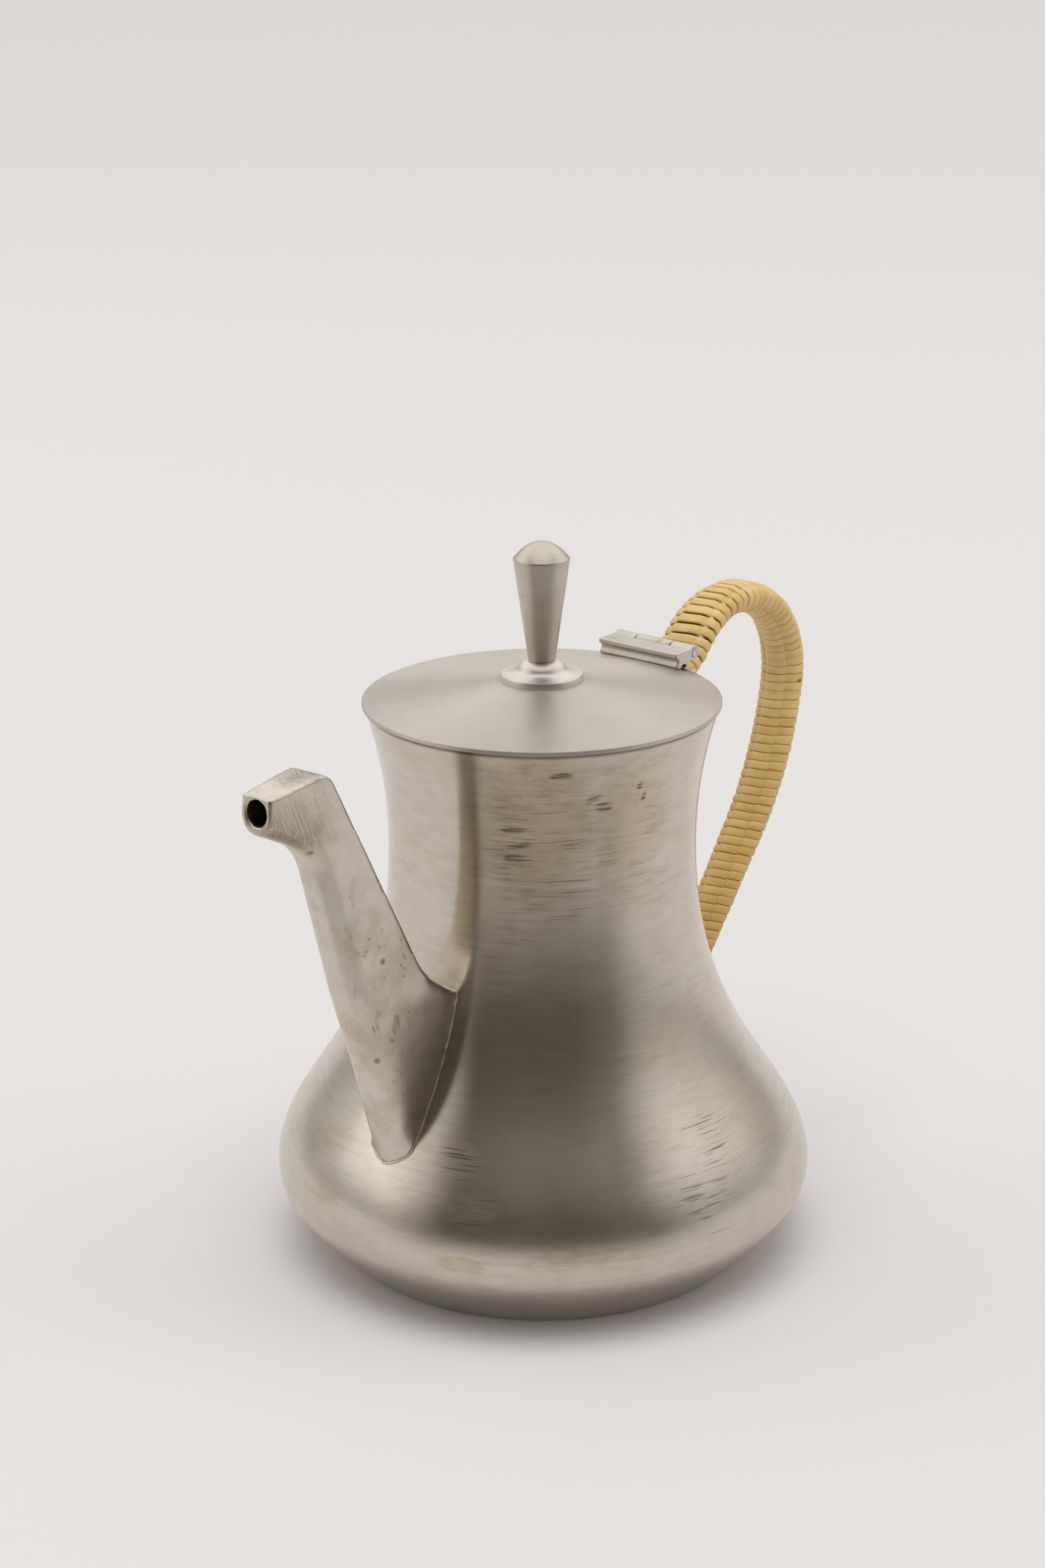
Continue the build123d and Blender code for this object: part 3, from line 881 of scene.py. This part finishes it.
    @staticmethod
    def worn(points: np.ndarray, edges: np.ndarray, share: np.ndarray, passes: int) -> np.ndarray:
        """Moves each point up to half way to the middle of its neighbours.

        Args:
            points: The points.
            edges: Pairs of neighbours.
            share: How far each point may move, from 0 to 1.
            passes: Number of times.

        Returns:
            The moved points.
        """
        one, other = edges.T
        count = len(points)
        number = np.bincount(edges.ravel(), minlength=count)
        for _ in range(passes):
            sums = [
                np.bincount(one, points[other, i], count) + np.bincount(other, points[one, i], count)
                for i in range(3)
            ]
            points = points + (np.stack(sums, -1) / number[:, None] - points) * (0.5 * share)[:, None]
        return points

    def bead(self) -> bpy.types.Object:
        """Runs the bead of solder along the joint.

        Returns:
            The bead as one piece.
        """
        corners = np.array([tuple(point) for point in self.joint_line()])
        corners = self.rounded(corners, corners[:, 2].min())
        corners = np.vstack([corners, corners[:1]])
        travel = np.concatenate([[0], np.cumsum(np.linalg.norm(np.diff(corners, axis=0), axis=1))])
        count = int(travel[-1] / self.bead_step)
        even = np.linspace(0, travel[-1], count, endpoint=False)
        line = np.stack([np.interp(even, travel, corners[:, i]) for i in range(3)], -1)
        rng = np.random.default_rng(self.seed)
        marks = np.linspace(0, travel[-1], self.bead_lumps)
        lumps = np.interp(even, marks, rng.normal(0, 1, self.bead_lumps))
        girth = self.bead_radius * (1 + self.bead_unevenness * lumps)
        ahead = np.roll(line, -1, 0) - np.roll(line, 1, 0)
        ahead /= np.linalg.norm(ahead, axis=1)[:, None]
        level = np.array([1.0, 1.0, 0.0])
        out = line * level
        out /= np.linalg.norm(out, axis=1)[:, None]
        aside = np.cross(ahead, out)
        aside /= np.linalg.norm(aside, axis=1)[:, None]
        out = np.cross(aside, ahead)
        rings = [
            line + girth[:, None] * (math.cos(turn) * out + math.sin(turn) * aside)
            for turn in np.linspace(0, 2 * math.pi, self.bead_sides, endpoint=False)
        ]
        points = np.stack(rings, 1).reshape(-1, 3)
        return mesh_piece("spout_solder", points, ring_faces(count, self.bead_sides))

    def build(self) -> None:
        """Dresses the casting and solders it on."""
        material = self.finish.make()
        casting = self.casting()
        casting.data.materials.append(material)
        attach(casting, "pot")
        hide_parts("spout")
        bead = self.bead()
        bead.data.materials.append(material)
        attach(bead, "pot")
        log.info("cast the spout and soldered it on")


@dataclass
class Lid:
    """Lid with its bezel, collar, knob and fixings.

    The collar's outline has places of a reach and a height, the height from the collar's
    foot where it is positive and from its top where it is negative.
    """

    collar_sides: int = 128
    collar_steps: int = 12
    collar_lip: float = 0.0016
    collar_lip_round: Span = (0.0002, 0.0019)
    collar_cove: Span = (0.0076, 0.0021)
    collar_waist: Span = (0.0068, -0.002)
    collar_shoulder: Span = (0.0061, -0.0006)
    collar_crown: Span = (0.0045, -0.0001)
    collar_crease: float = 35.0
    face_finish: Pewter = field(
        default_factory=lambda: Pewter(
            "brushed_lid",
            Brushing.ROUND_A_FACE,
            bright=(0.61, 0.567, 0.51),
            roughness=0.46,
            anisotropy=0.85,
            patina=0.12,
            grain=0.3,
            line_depth=0.000002,
            wave_depth=0.00003,
        )
    )
    polished_finish: Pewter = field(
        default_factory=lambda: Pewter(
            "polished_collar",
            Brushing.ROUND_A_FACE,
            bright=(0.72, 0.685, 0.63),
            roughness=0.4,
            anisotropy=0.1,
            patina=0.1,
            grain=0.3,
            line_depth=0.000002,
            wave_depth=0.0,
        )
    )
    turned_finish: Pewter = field(
        default_factory=lambda: Pewter(
            "turned_pewter",
            Brushing.ROUND_A_WALL,
            bright=(0.58, 0.535, 0.465),
            roughness=0.34,
            anisotropy=0.3,
            patina=0.3,
            line_depth=0.000003,
            wave_depth=0.0,
        )
    )

    @staticmethod
    def bow(start: Span, pull: Span, end: Span, run: np.ndarray) -> np.ndarray:
        """Points of a curve from start to end that leans towards a third point."""
        start, pull, end = np.array(start), np.array(pull), np.array(end)
        return start * (1 - run) ** 2 + pull * 2 * run * (1 - run) + end * run**2

    def collar(self) -> bpy.types.Object:
        """Collar with the soft flowing outline that years of polishing leave.

        Returns:
            The collar, which stands for the node.
        """
        corners = np.array([tuple(vertex.co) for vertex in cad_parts["knob_collar"].data.vertices])
        foot, top = corners[:, 2].min(), corners[:, 2].max()
        reach = np.hypot(corners[:, 0], corners[:, 1])
        rim, bore = reach.max(), reach.min()
        run = np.linspace(0, 1, self.collar_steps)[:, None]
        lip = (rim - self.collar_lip_round[0], self.collar_lip_round[1])
        outline = (lip, self.collar_cove, self.collar_waist, self.collar_shoulder, self.collar_crown)
        lip, cove, waist, shoulder, crown = [(r, (foot if z > 0 else top) + z) for r, z in outline]
        curve = [*self.bow(lip, cove, waist, run), *self.bow(waist, shoulder, crown, run[1:])]
        profile = [(bore, foot), (rim, foot), (rim, foot + self.collar_lip), *curve, (bore, top)]
        turns = np.linspace(0, 2 * math.pi, self.collar_sides, endpoint=False)
        points = np.array([(r * math.cos(t), r * math.sin(t), z) for r, z in profile for t in turns])
        faces = ring_faces(len(profile), self.collar_sides)
        piece = mesh_piece("collar_polished", points, faces)
        piece.data.set_sharp_from_angle(angle=math.radians(self.collar_crease))
        return piece

    def build(self) -> None:
        """Dresses the lid's pieces."""
        face = self.face_finish.make()
        turned = self.turned_finish.make()
        collar = self.collar()
        collar.data.materials.append(self.polished_finish.make())
        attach(collar, "lid")
        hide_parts("knob_collar")
        for node in ("lid_disc", "knob_washer"):
            dress(node, face)
        for node in ("lid_bezel", "knob", "knob_screw"):
            dress(node, turned)


@dataclass
class Hinge:
    """Hinge of three knuckles between lid and neck."""

    grain: float = 0.00025
    passes: int = 14
    finish: Pewter = field(
        default_factory=lambda: Pewter(
            "worn_cast_pewter",
            Brushing.CROSSED,
            bright=(0.6, 0.567, 0.517),
            roughness=0.36,
            anisotropy=0.0,
            patina=0.3,
            pits=0.3,
            grain=0.1,
            line_depth=0.000003,
            wave_scale=150.0,
            wave_depth=0.00012,
        )
    )

    def build(self) -> None:
        """Dresses the leaves and the pin."""
        material = self.finish.make()
        for node in ("hinge_lid_leaf", "hinge_body_leaf", "hinge_pin"):
            dress(node, material)
        for node in ("hinge_lid_leaf", "hinge_body_leaf"):
            wear_down(node, self.grain, self.passes)


def heading(angle: float) -> np.ndarray:
    """Direction of length 1 at an angle in degrees."""
    return np.array([math.cos(math.radians(angle)), math.sin(math.radians(angle))])


@dataclass
class HandleLine:
    """Middle line of the handle as straight and round runs in the X-Z plane, in millimetres."""

    loop_centre: Span = (88.6, 145.5)
    loop_radius: float = 27.3
    root_angle: float = 30.0
    rise_angle: float = 50.0
    fall_angle: float = 100.0
    tail_angle: float = 128.0
    root_radius: float = 20.0
    tail_radius: float = 97.0
    root_length: float = 30.85
    tail_length: float = 66.37

    def length(self) -> float:
        """Length of the whole line."""
        return sum(run for run, _ in self.runs())

    def runs(self) -> list[Span]:
        """Lists the straight and round runs in order.

        Returns:
            Length and turn of each run, the turn in radians to the left.
        """
        turns = [
            (self.root_radius, self.rise_angle - self.root_angle),
            (self.loop_radius, -self.rise_angle - self.fall_angle),
            (self.tail_radius, self.fall_angle - self.tail_angle),
        ]
        arcs = [(radius * abs(math.radians(turn)), math.radians(turn)) for radius, turn in turns]
        return [(self.root_length, 0.0), *arcs, (self.tail_length, 0.0)]

    def start(self) -> np.ndarray:
        """Works out where the line starts.

        Returns:
            Its first point.
        """
        bend_centre = np.array(self.loop_centre)
        bend_centre = bend_centre + heading(90 + self.rise_angle) * (self.loop_radius + self.root_radius)
        bend_start = bend_centre + heading(self.root_angle - 90) * self.root_radius
        return bend_start - heading(self.root_angle) * self.root_length

    def at(self, distances: np.ndarray) -> tuple[np.ndarray, np.ndarray, np.ndarray]:
        """Points along the line.

        Args:
            distances: How far along each point is, in millimetres.

        Returns:
            Points as (x, z), directions in radians, and curvatures with the loop's positive.
        """
        points = np.zeros((*distances.shape, 2))
        angles = np.zeros(distances.shape)
        bends = np.zeros(distances.shape)
        here, angle, done = self.start(), math.radians(self.root_angle), 0.0
        for length, turn in self.runs():
            inside = (distances > done) | (done == 0.0)
            step = distances - done
            bend = turn / length
            if turn:
                centre = here + np.array([-math.sin(angle), math.cos(angle)]) / bend
                facing = angle + bend * step
                found = centre + np.stack([np.sin(facing), -np.cos(facing)], -1) / bend
            else:
                facing = np.full(distances.shape, angle)
                found = here + step[..., None] * np.array([math.cos(angle), math.sin(angle)])
            points[inside], angles[inside], bends[inside] = found[inside], facing[inside], -bend
            if turn:
                here = centre + np.array([math.sin(angle + turn), -math.cos(angle + turn)]) / bend
            else:
                here = here + length * np.array([math.cos(angle), math.sin(angle)])
            angle, done = angle + turn, done + length
        return points, angles, bends


@dataclass
class Handle:
    """Metal bar bound with one long strip of split cane, in millimetres."""

    line: HandleLine = field(default_factory=HandleLine)
    root_size: Span = (14.0, 6.7)
    tail_size: Span = (10.4, 4.7)
    nose_share: float = 0.66
    corner: float = 1.2
    corner_steps: int = 9
    swell: tuple[float, ...] = (0.0, 0.55, 0.7, 0.55)
    swell_steps: int = 7
    swell_part: Span = (0.25, 0.75)
    swell_wave: Span = (0.1, 0.9)
    section_steps: int = 720
    normal_reach: int = 6
    thickness: float = 1.35
    start_gap: float = 24.4
    end_gap: float = 15.1
    pitch: float = 2.78
    steps_a_turn: int = 56
    strip_side: tuple[float, ...] = (-1.0, -0.985, -0.9, -0.6, 0.0, 0.6, 0.9, 0.985, 1.0)
    strip_crown: tuple[float, ...] = (0.0, 0.72, 0.9, 0.99, 1.03, 0.99, 0.9, 0.72, 0.0)
    wander: float = 0.05
    width_spread: float = 0.015
    twist: float = 0.05
    twist_rate: float = 2.1
    rock: float = 0.04
    seed: int = 7
    fan: float = 0.35
    fan_range: Span = (0.94, 1.4)
    lag: float = 0.4
    girth_share: float = 0.9
    open_length: float = 85.0
    open_fade: float = 35.0
    gap_turns: float = 0.5
    open_turns: tuple[Span, ...] = (
        (1.3, 0.25),
        (2.4, 0.6),
        (3.5, 0.2),
        (4.5, 0.55),
        (5.6, 0.25),
        (6.6, 0.4),
        (7.7, 0.25),
        (8.7, 0.3),
        (9.8, 0.2),
        (11.3, 0.25),
    )
    bar_finish: Pewter = field(
        default_factory=lambda: Pewter(
            "rubbed_bar", Brushing.CROSSED, roughness=0.3, anisotropy=0.0, patina=0.2
        )
    )
    cane_finish: Cane = field(default_factory=Cane)

    def section(self) -> np.ndarray:
        """Bar's D section under the cane, its flats a little swollen.

        Returns:
            Evenly spaced points and outward normals, for a half width and half thickness of 1.
        """
        half_w, half_t = self.root_size[0] / 2, self.root_size[1] / 2
        nose = half_w * self.nose_share
        corners = np.array([(half_w, half_t), (-half_w, half_t), (-nose, -half_t), (nose, -half_t)])
        ring: list[np.ndarray] = []
        for i in range(len(corners)):
            before, here, after = corners[i - 1], corners[i], corners[(i + 1) % len(corners)]
            one = (before - here) / np.linalg.norm(before - here)
            two = (after - here) / np.linalg.norm(after - here)
            opening = math.acos(float(one @ two))
            middle = here + (one + two) / np.linalg.norm(one + two) * self.corner / math.sin(opening / 2)
            first = math.atan2(-one[0], one[1])
            last = first + math.pi - opening
            for angle in np.linspace(first, last, self.corner_steps):
                ring.append(middle + self.corner * np.array([math.cos(angle), math.sin(angle)]))
            out = np.array([two[1], -two[0]])
            length = np.linalg.norm(after - here)
            shares = np.linspace(*self.swell_part, self.swell_steps)
            rises = self.swell[i] * np.sin(math.pi * np.linspace(*self.swell_wave, self.swell_steps))
            ring.extend(here + two * length * share + out * rise for share, rise in zip(shares, rises))
        closed = np.array([*ring, ring[0]])
        travel = np.concatenate([[0], np.cumsum(np.linalg.norm(np.diff(closed, axis=0), axis=1))])
        even = np.linspace(0, travel[-1], self.section_steps + 1)
        points = np.stack([np.interp(even, travel, closed[:, i]) for i in range(2)], -1)
        ahead = np.roll(points[:-1], -self.normal_reach, 0) - np.roll(points[:-1], self.normal_reach, 0)
        normals = np.stack([ahead[:, 1], -ahead[:, 0]], -1) / np.linalg.norm(ahead, axis=1)[:, None]
        normals = np.vstack([normals, normals[:1]])
        return np.hstack([points / np.array([half_w, half_t]), normals])

    def binding(self) -> bpy.types.Object:
        """Winds the cane strip round the bar.

        Returns:
            The strip as one piece.
        """
        begin, end = self.start_gap, self.line.length() - self.end_gap
        turns = (end - begin - self.pitch - sum(gap for _, gap in self.open_turns)) / self.pitch
        rows = int(turns * self.steps_a_turn)
        turn = np.linspace(0, turns, rows)
        marks = np.arange(int(turns) + 3)
        rng = np.random.default_rng(self.seed)
        drift = np.interp(turn, marks, rng.normal(0, self.wander, len(marks)))
        middle = begin + self.pitch / 2 + self.pitch * turn + drift
        for where, gap in self.open_turns:
            middle = middle + gap * np.clip((turn - where) / self.gap_turns, 0, 1)
        tone = np.interp(turn, marks, rng.random(len(marks)))
        width = self.pitch * (1 + np.interp(turn, marks, rng.normal(0, self.width_spread, len(marks))))
        side, crown = np.array(self.strip_side), np.array(self.strip_crown)
        columns = len(side)
        full = np.ones((rows, columns))
        rock = self.rock * np.interp(turn, marks, rng.normal(0, 1, len(marks)))[:, None]
        tilt = self.twist * side * np.sin(turn * self.twist_rate)[:, None] + rock
        lift = crown * self.thickness + np.where(crown > 0, tilt, 0.0)
        done = np.clip((middle - begin) / (end - begin), 0, 1)[:, None] * full
        half_w, half_t = [(a + (b - a) * done) / 2 for a, b in zip(self.root_size, self.tail_size)]
        share = (-turn[:, None] * full) % 1.0
        table = self.section()
        read = [np.interp(share, np.linspace(0, 1, len(table)), column) for column in table.T]
        across = read[0] * half_w + read[2] * lift
        away = read[1] * half_t + read[3] * lift
        _, facing, bend = self.line.at(middle[:, None] * full)
        spread = 1.0 / np.clip(1 + self.fan * bend * away, *self.fan_range)
        lean = np.tan(self.lag * np.clip(-facing - math.pi / 2, 0, None))
        distance = middle[:, None] + side * width[:, None] / 2 * spread - lean * away
        points, angles, _ = self.line.at(np.clip(distance, 0.0, self.line.length()))
        x = points[..., 0] - np.sin(angles) * away
        z = points[..., 1] + np.cos(angles) * away
        corners = np.stack([x, -across, z], -1).reshape(-1, 3) * MM
        faces = [
            (i * columns + j, (i + 1) * columns + j, (i + 1) * columns + j + 1, i * columns + j + 1)
            for i in range(rows - 1)
            for j in range(columns - 1)
        ]
        faces.append(tuple(range(columns)))
        faces.append(tuple(range(rows * columns - 1, (rows - 1) * columns - 1, -1)))
        piece = mesh_piece("cane_binding", corners, faces)
        girth = 2 * (self.root_size[0] + self.root_size[1]) * self.girth_share
        along = turn[:, None] * girth * MM * full
        openness = np.clip((self.open_length - middle) / self.open_fade, 0, 1)[:, None] * full
        place = np.stack([along, side * self.pitch / 2 * MM * full, openness], -1)
        stored = piece.data.attributes.new("strip_place", "FLOAT_VECTOR", "POINT")
        stored.data.foreach_set("vector", place.astype(np.float32).ravel())
        for name, values in (("strip_tone", tone[:, None] * full), ("strip_edge", np.abs(side) * full)):
            stored = piece.data.attributes.new(name, "FLOAT", "POINT")
            stored.data.foreach_set("value", values.astype(np.float32).ravel())
        return piece

    def build(self) -> None:
        """Dresses the bar and winds the cane."""
        dress("handle_core", self.bar_finish.make())
        strip = self.binding()
        strip.data.materials.append(self.cane_finish.make())
        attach(strip, "pot")
        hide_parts("cane_wrap")
        log.info("wound %s", strip.name)


@dataclass
class Studio:
    """Pale sweep, soft light, the room that the metal mirrors and the camera.

    The spans for the room are places in a direction of length 1 as the pot sees it, to
    the camera's right, up, or to the camera, between which a light or the dark grows.
    Those for the floor are distances from the pot's axis.
    """

    camera_place: Point = (-0.6932, -0.5613, 0.4316)
    pitch: float = -18.25
    roll: float = -0.26
    lens: float = 77.14
    sensor: float = 36.0
    nearest: float = 0.05
    floor_reach: float = 22.0
    board_reach: float = 3.0
    board_height: float = 0.0006
    room_radius: float = 24.0
    room_facets: tuple[int, int] = (48, 24)
    dome_colour: Colour = (0.95, 0.93, 0.92)
    dome_strengths: Span = (0.3, 0.66)
    sun_elevation: float = 76.0
    sun_spread: float = 46.0
    sun_strength: float = 1.24
    softboxes: tuple[tuple[str, Point], ...] = (
        ("left_softbox", (-0.6, 1.5, 1.6)),
        ("right_softbox", (1.1, -1.4, 1.6)),
    )
    softbox_size: float = 1.6
    softbox_power: float = 5.0
    softbox_aim: Point = (0.0, 0.0, 0.09)
    wall_light: Colour = (1.02, 1.0, 0.98)
    wall_strengths: Span = (0.42, 1.18)
    wall_climb: Span = (0.05, 0.52)
    window_left: Span = (-0.78, -0.92)
    window_foot: Span = (0.2, 0.36)
    window_top: Span = (0.62, 0.46)
    window_back: Span = (-0.4, -0.1)
    window_strength: float = 0.35
    room_dark: Colour = (0.092, 0.079, 0.066)
    high_part: Span = (0.3, 0.6)
    high_shifts: Span = (0.13, 0.18)
    left_fade: Span = (0.64, 0.99)
    right_fade: Span = (0.66, 1.08)
    glimmer: Span = (0.3, 0.75)
    glimmer_share: float = 0.1
    ceiling: Span = (0.4, 0.72)
    ceiling_share: float = 0.05
    front_part: Span = (-0.3, 0.1)
    dark_top: Span = (0.95, 0.7)
    near_floor: Span = (0.13, 0.2)
    far_floor: Span = (0.36, 0.75)
    near_share: float = 0.34

    def camera(self) -> None:
        """Sets the camera where the photograph was taken from."""
        camera = bpy.data.objects.new("camera", bpy.data.cameras.new("camera"))
        camera.data.lens = self.lens
        camera.data.sensor_width = self.sensor
        camera.data.clip_start = self.nearest
        turn = Matrix.Rotation(math.radians(CAMERA_HEADING - 90), 4, "Z")
        nod = Matrix.Rotation(math.radians(90 + self.pitch), 4, "X")
        lean = Matrix.Rotation(math.radians(self.roll), 4, "Z")
        camera.matrix_world = Matrix.Translation(self.camera_place) @ turn @ nod @ lean
        bpy.context.scene.collection.objects.link(camera)
        bpy.context.scene.camera = camera

    @staticmethod
    def square(name: str, reach: float, height: float) -> bpy.types.Object:
        """Makes a level square round the pot's axis.

        Args:
            name: Name of the piece.
            reach: Half its side.
            height: Its height.

        Returns:
            The square.
        """
        signs = ((-1, -1), (1, -1), (1, 1), (-1, 1))
        corners = np.array([(x * reach, y * reach, height) for x, y in signs])
        return mesh_piece(name, corners, [(0, 1, 2, 3)])

    def floor(self) -> None:
        """Lays the sweep."""
        sweep = self.square("sweep", self.floor_reach, 0.0)
        sweep.data.materials.append(Paper().make())

    @staticmethod
    def mirrored_only(piece: bpy.types.Object) -> None:
        """Hides a piece from everything but the metal's reflections.

        Args:
            piece: A part of the room.
        """
        piece.visible_camera = False
        piece.visible_diffuse = False
        piece.visible_transmission = False
        piece.visible_volume_scatter = False
        piece.visible_shadow = False

    def bearing(self, bench: Bench) -> tuple[Value, Value]:
        """Place of a point as the pot sees it, in metres.

        Args:
            bench: Node tree of a part of the room.

        Returns:
            How far the point lies towards the camera, and how far to its right.
        """
        x, y, _ = bench.axes()
        along_x, along_y = [float(part) for part in heading(CAMERA_HEADING + 180)]
        return x * along_x + y * along_y, y * along_x - x * along_y

    def darkness(self, front: Value, aside: Value, height: Value) -> Value:
        """Share of the dark side of the room in a direction of length 1.

        Args:
            front: How far the direction points to the camera.
            aside: How far it points to the camera's right.
            height: How far it points up.

        Returns:
            A value from 0 where the room is bright to 1 where it is dark.
        """
        high = height.ramp(*self.high_part)
        left = high * self.high_shifts[0] - aside
        right = high * self.high_shifts[1] + aside
        light = height.ramp(*self.ceiling) * self.ceiling_share + left.ramp(*self.left_fade)
        light = light + right.ramp(*self.glimmer) * self.glimmer_share
        light = light + right.ramp(*self.right_fade) * (1 - self.glimmer_share)
        return (1.0 - light).most(0.0) * front.ramp(*self.front_part)

    def glow(
        self, piece: bpy.types.Object, bench: Bench, tone: Colour | bpy.types.NodeSocket, share: Term
    ) -> None:
        """Makes a piece shine evenly, for the metal's reflections only.

        Args:
            piece: A part of the room.
            bench: Its node tree.
            tone: Its light.
            share: How solid it is.
        """
        finish = bench.surface(
            Base_Color=(0.0, 0.0, 0.0),
            Emission_Color=tone,
            Emission_Strength=1.0,
            Specular_IOR_Level=0.0,
            Alpha=share,
        )
        finish.cycles.emission_sampling = "NONE"
        piece.data.materials.append(finish)
        self.mirrored_only(piece)

    def room(self) -> None:
        """Closes the room round the sweep, bright with a dark side behind the camera."""
        mesh = bpy.data.meshes.new("room")
        ball = bmesh.new()
        round_about, up_and_down = self.room_facets
        bmesh.ops.create_uvsphere(
            ball, u_segments=round_about, v_segments=up_and_down, radius=self.room_radius
        )
        ball.to_mesh(mesh)
        ball.free()
        room = bpy.data.objects.new("room", mesh)
        bpy.context.scene.collection.objects.link(room)
        bench = Bench("room")
        front, aside = [axis * (1 / self.room_radius) for axis in self.bearing(bench)]
        height = bench.axes()[2] * (1 / self.room_radius)
        window = aside.ramp(*self.window_left) * front.ramp(*self.window_back)
        window = window * height.ramp(*self.window_foot) * height.ramp(*self.window_top)
        low, high = self.wall_strengths
        strength = low + height.ramp(*self.wall_climb) * (high - low) + window * self.window_strength
        scaled = {0: self.wall_light, "Scale": strength}
        light = bench.node("ShaderNodeVectorMath", {"operation": "SCALE"}, scaled)
        dark = self.darkness(front, aside, height) * height.ramp(*self.dark_top)
        self.glow(room, bench, bench.blend(light.outputs[0], self.room_dark, dark), 1.0)

    def dark_floor(self) -> None:
        """Lays the dark floor that the metal sees in front, where the paper ends."""
        board = self.square("dark_floor", self.board_reach, self.board_height)
        bench = Bench("dark_floor")
        front, aside = self.bearing(bench)
        reach = bench.maths("SQRT", front * front + aside * aside)
        front, aside = [bench.maths("DIVIDE", axis, reach) for axis in (front, aside)]
        share = reach.ramp(*self.near_floor) * self.near_share
        share = share + reach.ramp(*self.far_floor) * (1 - self.near_share)
        self.glow(board, bench, self.room_dark, self.darkness(front, aside, bench.axes()[2]) * share)

    def softbox(self, name: str, place: Point) -> None:
        """Hangs a soft square lamp that faces the pot.

        Args:
            name: Name of the lamp.
            place: Where it hangs.
        """
        light = bpy.data.lights.new(name, "AREA")
        light.shape = "SQUARE"
        light.size = self.softbox_size
        light.energy = self.softbox_power
        lamp = bpy.data.objects.new(name, light)
        lamp.location = place
        lamp.rotation_mode = "QUATERNION"
        lamp.rotation_quaternion = (Vector(self.softbox_aim) - Vector(place)).to_track_quat("-Z", "Y")
        lamp.visible_glossy = False
        bpy.context.scene.collection.objects.link(lamp)

    def overhead(self) -> None:
        """Hangs a broad soft light high above, a little towards the camera."""
        light = bpy.data.lights.new("overhead", "SUN")
        light.energy = self.sun_strength
        light.angle = math.radians(self.sun_spread)
        lamp = bpy.data.objects.new("overhead", light)
        level, height = heading(self.sun_elevation)
        towards = Vector((*(heading(CAMERA_HEADING + 180) * level), height))
        lamp.rotation_mode = "QUATERNION"
        lamp.rotation_quaternion = towards.to_track_quat("Z", "Y")
        lamp.visible_glossy = False
        bpy.context.scene.collection.objects.link(lamp)

    def world(self) -> None:
        """Lights the studio with a pale dome, brighter overhead."""
        world = bpy.data.worlds.new("dome")
        bpy.context.scene.world = world
        bench = Bench("dome", world)
        height = bench.axes(bench.node("ShaderNodeTexCoord").outputs["Generated"])[2]
        low, high = self.dome_strengths
        strength = height.most(0.0) * (high - low) + low
        light = bench.node("ShaderNodeBackground", None, {0: (*self.dome_colour, 1.0), 1: strength})
        bench.node("ShaderNodeOutputWorld", None, {0: light.outputs[0]})

    def build(self) -> None:
        """Sets up the whole studio."""
        bpy.context.scene.view_settings.view_transform = "Standard"
        self.camera()
        self.floor()
        self.world()
        self.room()
        self.dark_floor()
        self.overhead()
        for name, place in self.softboxes:
            self.softbox(name, place)
        log.info("set up the studio")


def main() -> None:
    """Builds the pot and its studio."""
    logging.basicConfig(level=logging.INFO, format="%(message)s")
    for part in (Studio(), Body(), Spout(), Lid(), Hinge(), Handle()):
        part.build()
        log.info("built %s", type(part).__name__)


if __name__ == "__main__":
    main()
